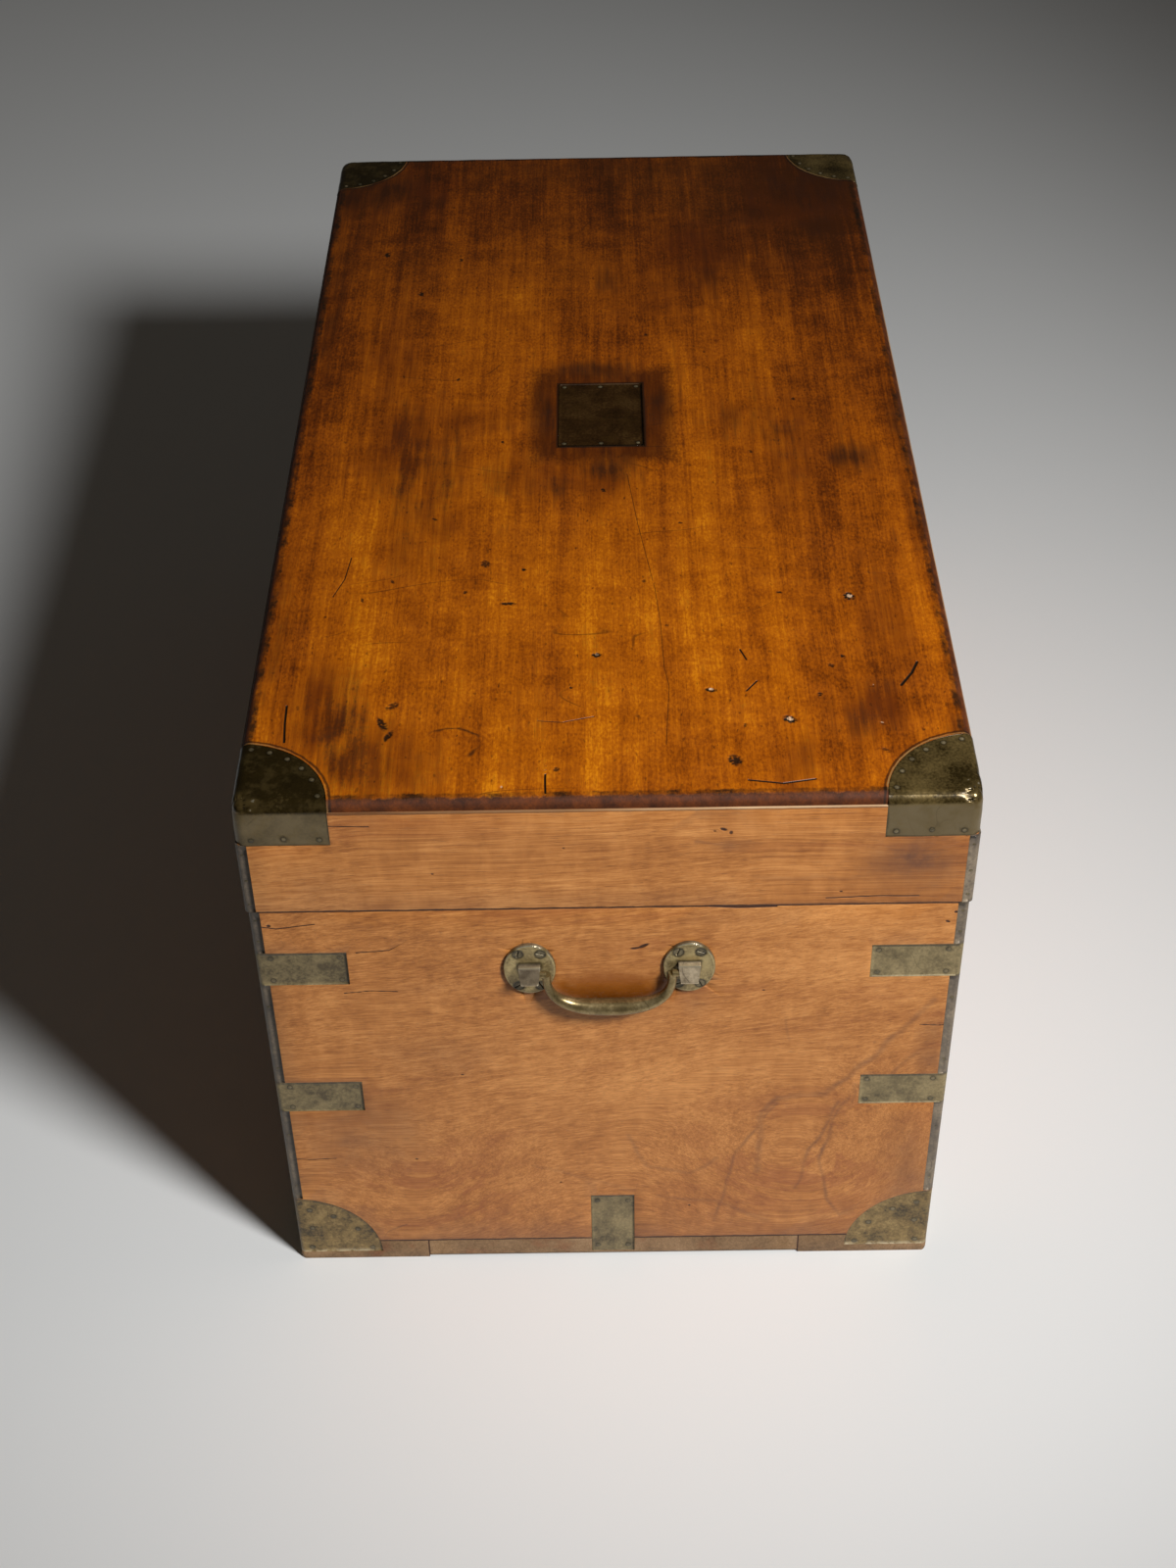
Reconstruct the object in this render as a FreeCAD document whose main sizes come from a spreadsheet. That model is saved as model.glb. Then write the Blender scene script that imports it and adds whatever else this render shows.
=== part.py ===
import FreeCAD, Part
import math
import os
import re

import Sketcher
from FreeCAD import Placement, Rotation, Vector

# Brass-bound camphor-wood campaign chest with a lift-up lid, in millimetres.
# X runs along the chest, -Y is the front (lock side), +Z is up.
# The origin is on the floor, under the middle of the case.

SIZES = (
    # case
    ("chest_length", 970.0),        # case and lid, end to end
    ("case_depth", 500.0),          # front face to back face
    ("case_height", 384.0),         # floor to the top edge of the case
    ("board_thick", 19.0),          # case boards and lid skirt
    ("corner_lap", 9.0),            # what the rebate leaves of an end board
    ("bottom_thick", 18.0),
    ("runner_thick", 21.0),
    ("runner_width", 103.0),
    ("corner_rounding", 4.0),       # vertical corners, wood and brass alike
    # lid
    ("lid_overhang", 2.0),          # past the case, front and back
    ("skirt_height", 90.0),
    ("seam_gap", 0.3),              # shut lid over the case
    ("top_thick", 18.0),
    ("top_lip", 8.5),               # part of the top board above the skirt
    ("top_inset", 1.2),             # lip set back from the skirt's faces
    ("top_rounding", 7.0),          # stays outside the brackets' inner rounding
    ("plug_clearance", 0.2),        # rebated top board inside the skirt
    # brass let into the boards
    ("brass_thick", 1.5),
    ("strap_height", 32.0),
    ("strap_leg", 65.0),
    ("upper_strap_level", 312.0),   # lower edges, above the floor
    ("lower_strap_level", 177.0),
    ("edging_leg", 8.0),
    ("foot_bracket_size", 66.0),
    ("foot_bracket_level", 8.0),
    ("lid_bracket_leg", 65.0),
    ("lid_bracket_drop", 28.0),     # below the lip
    ("lid_bracket_rounding", 8.0),
    ("foot_strap_width", 34.0),
    ("foot_strap_height", 70.5),
    ("foot_strap_under", 60.0),
    ("plate_length", 98.0),
    ("plate_width", 70.0),
    ("plate_corner", 1.5),
    # lifting handles
    ("handle_spacing", 113.0),      # rose to rose
    ("handle_level", 327.0),
    ("rose_height", 48.0),
    ("rose_width", 37.0),
    ("rose_thick", 3.0),
    ("rose_bevel", 0.8),
    ("eye_width", 15.6),            # at its upper end
    ("eye_foot", 12.4),             # width at its lower end
    ("eye_height", 13.0),
    ("eye_front", 5.7),             # past the pivot line
    ("eye_ease", 1.3),              # rounding of its front edges
    ("eye_shank", 4.0),             # radius
    ("rivet_head", 6.5),            # radius
    ("rivet_thick", 1.6),
    ("pivot_out", 7.6),             # pivot line in front of the board
    ("pivot_pin", 2.8),             # radius
    ("pivot_depth", 10.0),
    ("running_clearance", 0.08),
    ("neck_round", 3.1),            # radius
    ("elbow_swell", 0.25),          # of the bend, past the neck and the pin
    ("grip_round", 6.5),            # radius
    ("bail_half_span", 44.6),
    ("bail_drop", 33.6),
    ("screw_across", 15.8),
    ("screw_apart", 31.0),
    # wood screws
    ("screw_head", 3.9),            # radius
    ("screw_head_deep", 2.6),
    ("screw_shank", 2.0),           # radius
    ("screw_length", 15.0),
    ("slot_width", 0.9),
    ("slot_deep", 0.8),
    ("cutter_overrun", 2.0),        # how far a cutting shape passes its piece
    # hinges
    ("hinge_spacing", 600.0),
    ("hinge_length", 76.0),
    ("leaf_thick", 2.2),
    ("leaf_edge", 2.0),             # wood left in front of a leaf
    ("leaf_stop", 4.6),             # leaf plate to the pivot line
    ("knuckle_round", 4.2),
    ("knuckle_gap", 0.3),
    ("hinge_pin", 2.0),             # radius
    ("pivot_behind", 7.0),          # pivot line behind the case
    ("leaf_screws_apart", 28.0),
    # lock
    ("lock_length", 62.0),
    ("lock_height", 36.0),
    ("lock_deep", 12.0),
    ("lock_wall", 1.8),
    ("selvedge_length", 84.0),
    ("selvedge_thick", 2.0),
    ("staple_spacing", 26.0),
    ("staple_thick", 3.0),
    ("staple_width", 6.4),
    ("staple_drop", 14.0),
    ("staple_eye", 6.4),
    ("bolt_thick", 3.0),
    ("bolt_rail", 6.0),
    ("bolt_tongue", 4.8),
    ("bolt_riser", 4.0),
    ("tongue_length", 7.5),
    ("key_talon", 2.2),             # half-width and depth of the key's notch
    ("fitting_clearance", 0.5),
    ("key_round", 3.8),             # radius of the keyhole's eye
    ("key_slot", 5.2),
    ("key_drop", 10.0),
    ("key_level", 27.0),            # keyhole's eye below the case edge
    ("key_lining", 1.3),
)

doc = FreeCAD.newDocument("campaign_chest")
sheet = doc.addObject("Spreadsheet::Sheet", "sizes")
for row, (alias, amount) in enumerate(SIZES, start=1):
    sheet.set(f"A{row}", alias)
    sheet.set(f"B{row}", str(amount))
    sheet.setAlias(f"B{row}", alias)
doc.recompute()

NAMES = {alias for alias, amount in SIZES}
UP = Vector(0, 0, 1)
TURN = {
    "x": Rotation(Vector(0, 1, 0), 90),
    "y": Rotation(Vector(1, 0, 0), -90),
    "z": Rotation(),
}
# corner name, side along X, side along Y, turn of a piece drawn for the front left corner
CORNERS = (
    ("front_left", -1, -1, 0),
    ("front_right", 1, -1, 90),
    ("back_right", 1, 1, 180),
    ("back_left", -1, 1, 270),
)
SIDES = (("left", -1), ("right", 1))
DEPTHS = (("front", -1), ("back", 1))

# places that many pieces share
CASE_X = "chest_length / 2"
CASE_Y = "case_depth / 2"
LID_Y = "(case_depth / 2 + lid_overhang)"
LID_FOOT = "(case_height + seam_gap)"
LEDGE = "(case_height + skirt_height)"
LID_TOP = "(case_height + skirt_height + top_lip)"
PIVOT_Y = "(case_depth / 2 + pivot_behind)"
PIVOT_Z = "(case_height + seam_gap / 2)"
LEAF_Y = "(case_depth / 2 - board_thick + leaf_edge)"
TINY = 0.01


def size(alias):
    return float(sheet.get(alias))


def formula(text):
    """The text with each sheet alias written as FreeCAD's expressions want it."""
    return re.sub(r"[a-z_]+", lambda word: "sizes." + word.group() if word.group() in NAMES
                  else word.group(), str(text))


def bind(thing, **properties):
    for name, text in properties.items():
        thing.setExpression(name, formula(text))
    return thing


def seat(thing, place, turn=Rotation()):
    """Put a piece at a place of three formulas, turned about its own origin."""
    thing.Placement = Placement(Vector(), turn)
    for axis, text in zip("xyz", place):
        thing.setExpression("Placement.Base." + axis, formula(text))
    return thing


def block(name, lengths, centre):
    box = doc.addObject("Part::Box", name)
    bind(box, Length=lengths[0], Width=lengths[1], Height=lengths[2])
    corner = [f"{middle} - ({length}) / 2" for middle, length in zip(centre, lengths)]
    return seat(box, corner)


def rod(name, radius, length, centre, axis):
    cylinder = doc.addObject("Part::Cylinder", name)
    bind(cylinder, Radius=radius, Height=length)
    start = [f"{middle} - ({length}) / 2" if letter == axis else middle
             for middle, letter in zip(centre, "xyz")]
    return seat(cylinder, start, TURN[axis])


def fuse(name, *pieces):
    union = doc.addObject("Part::MultiFuse", name)
    union.Shapes = list(pieces)
    return union


def common(name, *pieces):
    overlap = doc.addObject("Part::MultiCommon", name)
    overlap.Shapes = list(pieces)
    return overlap


def cut(name, stock, *tools):
    """The stock less its tools, which are joined first when there are several."""
    tool = tools[0] if len(tools) == 1 else fuse(name + "_recesses", *tools)
    result = doc.addObject("Part::Cut", name)
    result.Base = stock
    result.Tool = tool
    return result


def group(name, pieces):
    compound = doc.addObject("Part::Compound", name)
    compound.Links = list(pieces)
    return compound


def origin_plane(body, role):
    return next(plane for plane in body.Origin.OriginFeatures if plane.Role == role)


def evaluated(text):
    """Present value of a formula in sheet aliases."""
    return float(sheet.evalExpression(formula(text)))


def outline(body, plane, corners):
    """A closed straight-sided sketch whose every corner is bound to the sheet."""
    sketch = body.newObject("Sketcher::SketchObject", body.Name + "_outline")
    sketch.AttachmentSupport = (origin_plane(body, plane), [""])
    sketch.MapMode = "FlatFace"
    points = [Vector(evaluated(across), evaluated(along), 0) for across, along in corners]
    count = len(points)
    for index in range(count):
        sketch.addGeometry(Part.LineSegment(points[index], points[(index + 1) % count]), False)
    for index in range(count):
        following = (index + 1) % count
        sketch.addConstraint(Sketcher.Constraint("Coincident", index, 2, following, 1))
    for index, corner in enumerate(corners):
        for kind, text, value, axis in zip(("DistanceX", "DistanceY"), corner, points[index], (-2, -1)):
            if text == "0":
                sketch.addConstraint(Sketcher.Constraint("PointOnObject", index, 1, axis))
                continue
            number = sketch.addConstraint(Sketcher.Constraint(kind, -1, 1, index, 1, value))
            sketch.renameConstraint(number, f"{kind}{index}")
            bind(sketch, **{f"Constraints.{kind}{index}": text})
    return sketch


def extruded(name, plane, corners, length, middle=False):
    """A body padded from an outline, from its plane or to both sides of it."""
    body = doc.addObject("PartDesign::Body", name)
    sketch = outline(body, plane, corners)
    pad = body.newObject("PartDesign::Pad", name + "_pad")
    pad.Profile = sketch
    pad.Midplane = middle
    bind(pad, Length=length)
    doc.recompute()
    return body


def rounded(body, label, radius, chosen):
    """Round the edges of the body's tip whose middles the test picks."""
    tip = body.Tip
    edges = [f"Edge{number}" for number, edge in enumerate(tip.Shape.Edges, start=1)
             if chosen(edge.CenterOfMass)]
    fillet = body.newObject("PartDesign::Fillet", body.Name + label)
    fillet.Base = (tip, edges)
    bind(fillet, Radius=radius)
    doc.recompute()
    return body


def rectangle(width, depth):
    """Outline of a rectangle about its plane's origin."""
    return ((f"-{width} / 2", f"-{depth} / 2"), (f"{width} / 2", f"-{depth} / 2"),
            (f"{width} / 2", f"{depth} / 2"), (f"-{width} / 2", f"{depth} / 2"))


def corner_place(side_x, side_y, level, half_depth):
    return (f"{side_x} * {CASE_X}", f"{side_y} * {half_depth}", level)


# Brass on the corners

def angle(name, leg, height):
    """Brass angle with its outer corner on the origin and its legs along +X and +Y."""
    wall = "brass_thick"
    corners = (("0", "0"), (leg, "0"), (leg, wall), (wall, wall), (wall, leg), ("0", leg))
    body = extruded(name, "XY_Plane", corners, height)
    rounded(body, "_bend", "corner_rounding", lambda spot: max(spot.x, spot.y) < TINY)
    inside = size("brass_thick")
    return rounded(body, "_inside", "corner_rounding - brass_thick",
                   lambda spot: max(abs(spot.x - inside), abs(spot.y - inside)) < TINY)


def corner_straps():
    straps = {}
    for corner, side_x, side_y, turn in CORNERS:
        for row, level in (("upper", "upper_strap_level"), ("lower", "lower_strap_level")):
            strap = angle(f"{row}_strap_{corner}", "strap_leg", "strap_height")
            seat(strap, corner_place(side_x, side_y, level, CASE_Y), Rotation(UP, turn))
            straps[row, corner] = strap
    return straps


def case_edging():
    """Three lengths of edging on each case corner, between the bracket, straps and seam."""
    spans = (
        ("foot_bracket_level + foot_bracket_size", "lower_strap_level"),
        ("lower_strap_level + strap_height", "upper_strap_level"),
        ("upper_strap_level + strap_height", "case_height"),
    )
    edging = {}
    for corner, side_x, side_y, turn in CORNERS:
        lengths = []
        for number, (low, high) in enumerate(spans, start=1):
            strip = angle(f"edging_{corner}_length_{number}", "edging_leg", f"{high} - ({low})")
            seat(strip, corner_place(side_x, side_y, low, CASE_Y), Rotation(UP, turn))
            lengths.append(strip)
        edging[corner] = group(f"edge_strip_{corner}", lengths)
    return edging


def lid_edging():
    """One length on each lid corner, from the seam up to the bracket."""
    strips = []
    height = "skirt_height - lid_bracket_drop - seam_gap"
    for corner, side_x, side_y, turn in CORNERS:
        strip = angle(f"lid_edging_{corner}", "edging_leg", height)
        seat(strip, corner_place(side_x, side_y, LID_FOOT, LID_Y), Rotation(UP, turn))
        strips.append(strip)
    return group("lid_edge_strips", strips)


def foot_brackets():
    """Two quarter-round flanges folded round each lower corner."""
    reach = "foot_bracket_size"
    brackets = {}
    for corner, side_x, side_y, turn in CORNERS:
        spin = Rotation(UP, turn)
        place = corner_place(side_x, side_y, "foot_bracket_level", CASE_Y)
        folded = seat(angle(f"foot_blank_{corner}", reach, reach), place, spin)
        quarters = []
        for axis in "xy":
            quarter = doc.addObject("Part::Cylinder", f"foot_quarter_{axis}_{corner}")
            bind(quarter, Radius=reach, Height=reach)
            quarters.append(seat(quarter, place, spin * TURN[axis]))
        brackets[corner] = common(f"base_corner_{corner}", folded, *quarters)
    return brackets


def rounded_corner_block(name, wall, radius):
    """Upper corner of the lid, set in by wall, with its three edges rounded."""
    low = wall
    high = "lid_bracket_leg + 2 * brass_thick"
    corners = ((low, low), (high, low), (high, high), (low, high))
    height = f"lid_bracket_drop + top_lip - {wall}"
    body = extruded(name, "XY_Plane", corners, height)
    start = evaluated(wall)
    top = evaluated(height)
    return rounded(body, "_edges", radius, lambda spot:
                   max(spot.x, spot.y) < start + TINY
                   or (spot.z > top - TINY and min(spot.x, spot.y) < start + TINY))


def lid_brackets():
    """Three-faced caps on the lid corners, and the shapes that let them into the wood."""
    brackets, recesses = {}, {}
    leg = "lid_bracket_leg"
    level = f"({LEDGE} - lid_bracket_drop)"
    for corner, side_x, side_y, turn in CORNERS:
        spin = Rotation(UP, turn)
        place = corner_place(side_x, side_y, level, LID_Y)
        outer = seat(rounded_corner_block(f"cap_outer_{corner}", "0", "lid_bracket_rounding"),
                     place, spin)
        inner = seat(rounded_corner_block(f"cap_inner_{corner}", "brass_thick",
                                          "lid_bracket_rounding - brass_thick"), place, spin)
        # flanges on the skirt are square, the flange on top is a quarter circle
        square = doc.addObject("Part::Box", f"cap_square_{corner}")
        bind(square, Length=leg, Width=leg, Height="lid_bracket_drop")
        seat(square, place, spin)
        quarter = doc.addObject("Part::Cylinder", f"cap_quarter_{corner}")
        bind(quarter, Radius=leg, Height="top_lip + brass_thick")
        seat(quarter, corner_place(side_x, side_y, LEDGE, LID_Y), spin)
        sector = doc.addObject("Part::Box", f"cap_sector_{corner}")
        bind(sector, Length=leg, Width=leg, Height="top_lip + brass_thick")
        seat(sector, corner_place(side_x, side_y, LEDGE, LID_Y), spin)
        flange = common(f"cap_flange_{corner}", quarter, sector)
        extent = fuse(f"cap_extent_{corner}", square, flange)
        recesses[corner] = cut(f"cap_recess_{corner}", extent, inner)
        skin = cut(f"cap_skin_{corner}", outer, inner)
        brackets[corner] = common(f"lid_corner_{corner}", skin, extent)
    return brackets, recesses


def foot_straps():
    """Straps up the middle of each end and under the bottom board."""
    straps = {}
    wall = "brass_thick"
    rise = "foot_strap_height"
    run = "foot_strap_under"
    corners = (("0", "0"), (run, "0"), (run, wall), (wall, wall), (wall, rise), ("0", rise))
    for (side, side_x), turn in zip(SIDES, (0, 180)):
        strap = extruded(f"foot_strap_{side}", "XZ_Plane", corners, "foot_strap_width", middle=True)
        rounded(strap, "_bend", "corner_rounding / 2", lambda spot: max(spot.x, spot.z) < TINY)
        straps[side] = seat(strap, (f"{side_x} * {CASE_X}", "0", "runner_thick - bottom_thick"),
                            Rotation(UP, turn))
    return straps


# Screws

def wood_screw():
    """Countersunk slotted screw, pointing down from its head's face on the origin."""
    head = doc.addObject("Part::Cone", "screw_head_blank")
    bind(head, Radius1="screw_shank", Radius2="screw_head", Height="screw_head_deep")
    seat(head, ("0", "0", "-screw_head_deep"))
    shank = doc.addObject("Part::Cylinder", "screw_shank_blank")
    bind(shank, Radius="screw_shank", Height="screw_length - screw_head_deep")
    seat(shank, ("0", "0", "-screw_length"))
    slot = block("screw_slot", ("2 * (screw_head + cutter_overrun)", "slot_width", "2 * slot_deep"),
                 ("0", "0", "0"))
    solid = fuse("screw_solid", head, shank)
    screw = cut("screw_pattern", solid, slot)
    doc.recompute()
    return screw, solid


SLOT_START = 20
SLOT_STEP = 47


def copies(name, pattern, places):
    """One node of separate solids: a pattern at each point and turn, no two slots alike."""
    solids = []
    for number, (point, turn) in enumerate(places):
        solid = pattern.Shape.copy()
        solid.Placement = Placement(point, turn * Rotation(UP, SLOT_START + SLOT_STEP * number))
        solids.append(solid)
    node = doc.addObject("Part::Feature", name)
    node.Shape = Part.makeCompound(solids)
    return node


def handle_screw_places():
    face = size("chest_length") / 2 + size("rose_thick")
    places = []
    for side, side_x in SIDES:
        turn = Rotation(Vector(0, 1, 0), 90 * side_x)
        for side_y in (-1, 1):
            for across in (-1, 1):
                for above in (-1, 1):
                    y = (side_y * size("handle_spacing") + across * size("screw_across")) / 2
                    z = size("handle_level") + above * size("screw_apart") / 2
                    places.append((Vector(side_x * face, y, z), turn))
    return places


def leaf_screw_places(level, flip):
    """Three screws in each hinge leaf, heads on the leaf's face."""
    y = (evaluated(LEAF_Y) + size("case_depth") / 2) / 2
    turn = Rotation(Vector(1, 0, 0), flip)
    return [(Vector(side_x * size("hinge_spacing") / 2 + step * size("leaf_screws_apart"), y, level),
             turn) for side, side_x in SIDES for step in (-1, 0, 1)]


def lock_screw_places(level, flip):
    """One screw at each end of the selvedge or link plate."""
    x = (size("lock_length") + size("selvedge_length")) / 4
    turn = Rotation(Vector(1, 0, 0), flip)
    return [(Vector(side_x * x, evaluated(LOCK_Y), level), turn) for side, side_x in SIDES]


# Handles

def rose(side, side_x, place, side_y):
    """Oval plate under an eye, with a bevelled rim."""
    name = f"rose_{side}_{place}"
    rings = []
    levels = (("0", "0"), ("rose_thick - rose_bevel", "0"), ("rose_thick", "rose_bevel"))
    for number, (level, inset) in enumerate(levels):
        ring = doc.addObject("Part::Ellipse", f"{name}_ring_{number}")
        bind(ring, MajorRadius=f"rose_height / 2 - {inset}", MinorRadius=f"rose_width / 2 - {inset}")
        middle = (f"{side_x} * ({CASE_X} + {level})", f"{side_y} * handle_spacing / 2", "handle_level")
        rings.append(seat(ring, middle, Rotation(Vector(0, 1, 0), 90)))
    plate = doc.addObject("Part::Loft", name + "_blank")
    plate.Sections = rings
    plate.Solid = True
    plate.Ruled = True
    return plate


def boss(name, side_x, middle_y):
    """Block on a rose, narrower at its foot, with its front edges rounded."""
    corners = (("-eye_foot / 2", "-eye_height / 2"), ("eye_foot / 2", "-eye_height / 2"),
               ("eye_width / 2", "eye_height / 2"), ("-eye_width / 2", "eye_height / 2"))
    depth = "pivot_out + eye_front - rose_thick"
    body = extruded(name, "YZ_Plane", corners, depth)
    front = evaluated(depth)
    rounded(body, "_front", "eye_ease", lambda spot: abs(spot.x - front) < TINY)
    turn = Rotation(UP, 0 if side_x > 0 else 180)
    return seat(body, (f"{side_x} * ({CASE_X} + rose_thick)", middle_y, "handle_level"), turn)


def eye(side, side_x, place, side_y):
    """Boss that holds the bail's pin, with a shank riveted behind the rose."""
    name = f"eye_{side}_{place}"
    middle_y = f"{side_y} * handle_spacing / 2"

    def out(distance):
        return f"{side_x} * ({CASE_X} + {distance})"

    knuckle = boss(name + "_boss", side_x, middle_y)
    shank = rod(name + "_shank", "eye_shank", "rose_thick", (out("rose_thick / 2"), middle_y,
                "handle_level"), "x")
    rivet = rod(name + "_rivet", "rivet_head", "rivet_thick", (out("-rivet_thick / 2"), middle_y,
                "handle_level"), "x")
    bore = rod(name + "_bore", "pivot_pin + running_clearance", "pivot_depth + running_clearance",
               (out("pivot_out"),
                f"{side_y} * (handle_spacing / 2 - (eye_width - pivot_depth - running_clearance) / 2)",
                "handle_level"), "y")
    return cut(name, fuse(name + "_solid", knuckle, shank, rivet), bore)


BAIL_STATIONS = 16
BAIL_SQUARENESS = 2.8       # 2 is an ellipse, more is squarer
GRIP_TAPER = 1.9


def bail_point(share):
    """Place across and below the pivots, at a share of the way from one neck to the other."""
    angle_round = math.pi * share
    power = 2 / BAIL_SQUARENESS
    across = math.copysign(abs(math.cos(angle_round)) ** power, math.cos(angle_round))
    return across, -math.sin(angle_round) ** power


def bail(side, side_x):
    """Swan-neck bail: a tapered grip lofted between two necks, each with a pin into its eye."""
    name = f"{side}_bail"
    line_x = f"{side_x} * ({CASE_X} + pivot_out)"
    rings = []
    for station in range(BAIL_STATIONS + 1):
        share = 0.5 - 0.5 * math.cos(math.pi * station / BAIL_STATIONS)
        across, below = bail_point(share)
        before = bail_point(max(share - TINY / 10, 0))
        after = bail_point(min(share + TINY / 10, 1))
        along = Vector(0, (after[0] - before[0]) * size("bail_half_span"),
                       (after[1] - before[1]) * size("bail_drop"))
        ring = doc.addObject("Part::Circle", f"{name}_ring_{station}")
        taper = abs(across) ** GRIP_TAPER
        bind(ring, Radius=f"grip_round - (grip_round - neck_round) * {taper:.4f}")
        middle = (line_x, f"bail_half_span * {across:.4f}", f"handle_level + bail_drop * {below:.4f}")
        rings.append(seat(ring, middle, Rotation(UP, along)))
    grip = doc.addObject("Part::Loft", name + "_grip")
    grip.Sections = rings
    grip.Solid = True
    parts = [grip]
    for place, side_y in DEPTHS:
        end_y = f"{side_y} * bail_half_span"
        elbow = doc.addObject("Part::Sphere", f"{name}_elbow_{place}")
        bind(elbow, Radius="max(neck_round; pivot_pin) + elbow_swell")
        seat(elbow, (line_x, end_y, "handle_level"))
        reach = "(handle_spacing / 2 - eye_width / 2 + pivot_depth - running_clearance - bail_half_span)"
        pin = rod(f"{name}_pin_{place}", "pivot_pin", reach,
                  (line_x, f"{side_y} * (bail_half_span + {reach} / 2)", "handle_level"), "y")
        parts += [elbow, pin]
    return fuse(name, *parts)


# Hinges

KNUCKLES = 5


def hinge_leaf(name, side_x, low, mates, bore_extra):
    """Leaf let into an edge, with the knuckles of one half of the hinge behind it."""
    centre_x = f"{side_x} * hinge_spacing / 2"
    front = LEAF_Y
    back = f"({PIVOT_Y} - leaf_stop)"
    level = f"{low} + leaf_thick / 2"
    plate = block(name + "_plate", ("hinge_length", f"{back} - {front}", "leaf_thick"),
                  (centre_x, f"({back} + {front}) / 2", level))
    pieces = [plate]
    knuckle = f"((hinge_length + knuckle_gap) / {KNUCKLES} - knuckle_gap)"
    pitch = f"(hinge_length + knuckle_gap) / {KNUCKLES}"
    for number in mates:
        middle = f"{centre_x} + ({number} - {KNUCKLES // 2}) * {pitch}"
        pieces.append(rod(f"{name}_knuckle_{number}", "knuckle_round", knuckle,
                          (middle, PIVOT_Y, PIVOT_Z), "x"))
        pieces.append(block(f"{name}_tab_{number}", (knuckle, "leaf_stop", "leaf_thick"),
                            (middle, f"{PIVOT_Y} - leaf_stop / 2", level)))
    bore = rod(name + "_bore", f"hinge_pin + {bore_extra}", "hinge_length + 2 * cutter_overrun",
               (centre_x, PIVOT_Y, PIVOT_Z), "x")
    return cut(name + "_blank", fuse(name + "_solid", *pieces), bore)


def hinge_pins():
    pins = [rod(f"hinge_pin_{side}", "hinge_pin", "hinge_length",
                (f"{side_x} * hinge_spacing / 2", PIVOT_Y, PIVOT_Z), "x")
            for side, side_x in SIDES]
    return group("hinge_pins", pins)


# Lock

LOCK_Y = "(-case_depth / 2 + board_thick - lock_deep / 2)"
LOCK_TOP = "(case_height - selvedge_thick)"
STAPLE_X = "(staple_spacing / 2)"
KEY_Z = "(case_height - key_level)"
LINK_DEPTH = "(lock_deep - 2 * lid_overhang)"


def lock_case():
    """Brass box in the front board, under a selvedge with a slot for each staple."""
    mouth = ("lock_length - 2 * lock_wall", "lock_deep", "lock_height - 2 * lock_wall")
    middle_z = f"({LOCK_TOP} - lock_height / 2)"
    shell = block("lock_shell", ("lock_length", "lock_deep", "lock_height"), ("0", LOCK_Y, middle_z))
    cavity = block("lock_cavity", mouth, ("0", f"{LOCK_Y} + lock_wall", middle_z))
    selvedge = block("lock_selvedge", ("selvedge_length", "lock_deep", "selvedge_thick"),
                     ("0", LOCK_Y, f"{LOCK_TOP} + selvedge_thick / 2"))
    wide = "2 * fitting_clearance"
    slots = [block(f"staple_slot_{side}", (f"staple_thick + {wide}", f"staple_width + {wide}",
                                           "(selvedge_thick + lock_wall) * 2"),
                   (f"{side_x} * {STAPLE_X}", LOCK_Y, LOCK_TOP)) for side, side_x in SIDES]
    keyway = keyhole("lock_keyway", "0", f"{LOCK_Y} - lock_deep / 2 + lock_wall / 2",
                     "lock_wall * 2")
    return cut("lock_case_blank", fuse("lock_body", shell, selvedge), cavity, *slots, keyway)


def lock_cap():
    """Plate that closes the box towards the inside of the chest."""
    slack = "2 * running_clearance"
    return block("lock_cap", (f"lock_length - 2 * lock_wall - {slack}", "lock_wall / 2",
                              f"lock_height - 2 * lock_wall - {slack}"),
                 ("0", f"{LOCK_Y} + lock_deep / 2 - lock_wall / 4",
                  f"{LOCK_TOP} - lock_height / 2"))


def lock_bolt():
    """Sliding bar with two hooked tongues, each beside its staple while the lock is open."""
    rail_top = f"({LID_FOOT} - staple_drop - fitting_clearance)"
    rail_foot = f"({rail_top} - bolt_rail)"
    tongue_top = f"({LID_FOOT} - staple_drop + staple_thick + staple_eye - fitting_clearance)"
    tongue_foot = f"({tongue_top} - bolt_tongue)"
    start = f"(-{STAPLE_X} - staple_thick / 2 - fitting_clearance - tongue_length - bolt_riser)"
    end = f"({STAPLE_X} - staple_thick / 2 - fitting_clearance)"
    corners = [(start, rail_foot), ("-key_talon", rail_foot), ("-key_talon", f"{rail_foot} + key_talon"),
               ("key_talon", f"{rail_foot} + key_talon"), ("key_talon", rail_foot), (end, rail_foot),
               (end, rail_top)]
    for side_x in (1, -1):
        tip = f"({side_x} * {STAPLE_X} - staple_thick / 2 - fitting_clearance)"
        root = f"({tip} - tongue_length)"
        corners += [(root, rail_top), (root, tongue_foot), (tip, tongue_foot), (tip, tongue_top),
                    (f"{root} - bolt_riser", tongue_top)]
        if side_x == 1:
            corners.append((f"{root} - bolt_riser", rail_top))
    bolt = extruded("lock_bolt", "XZ_Plane", corners, "bolt_thick", middle=True)
    return seat(bolt, ("0", LOCK_Y, "0"))


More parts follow.
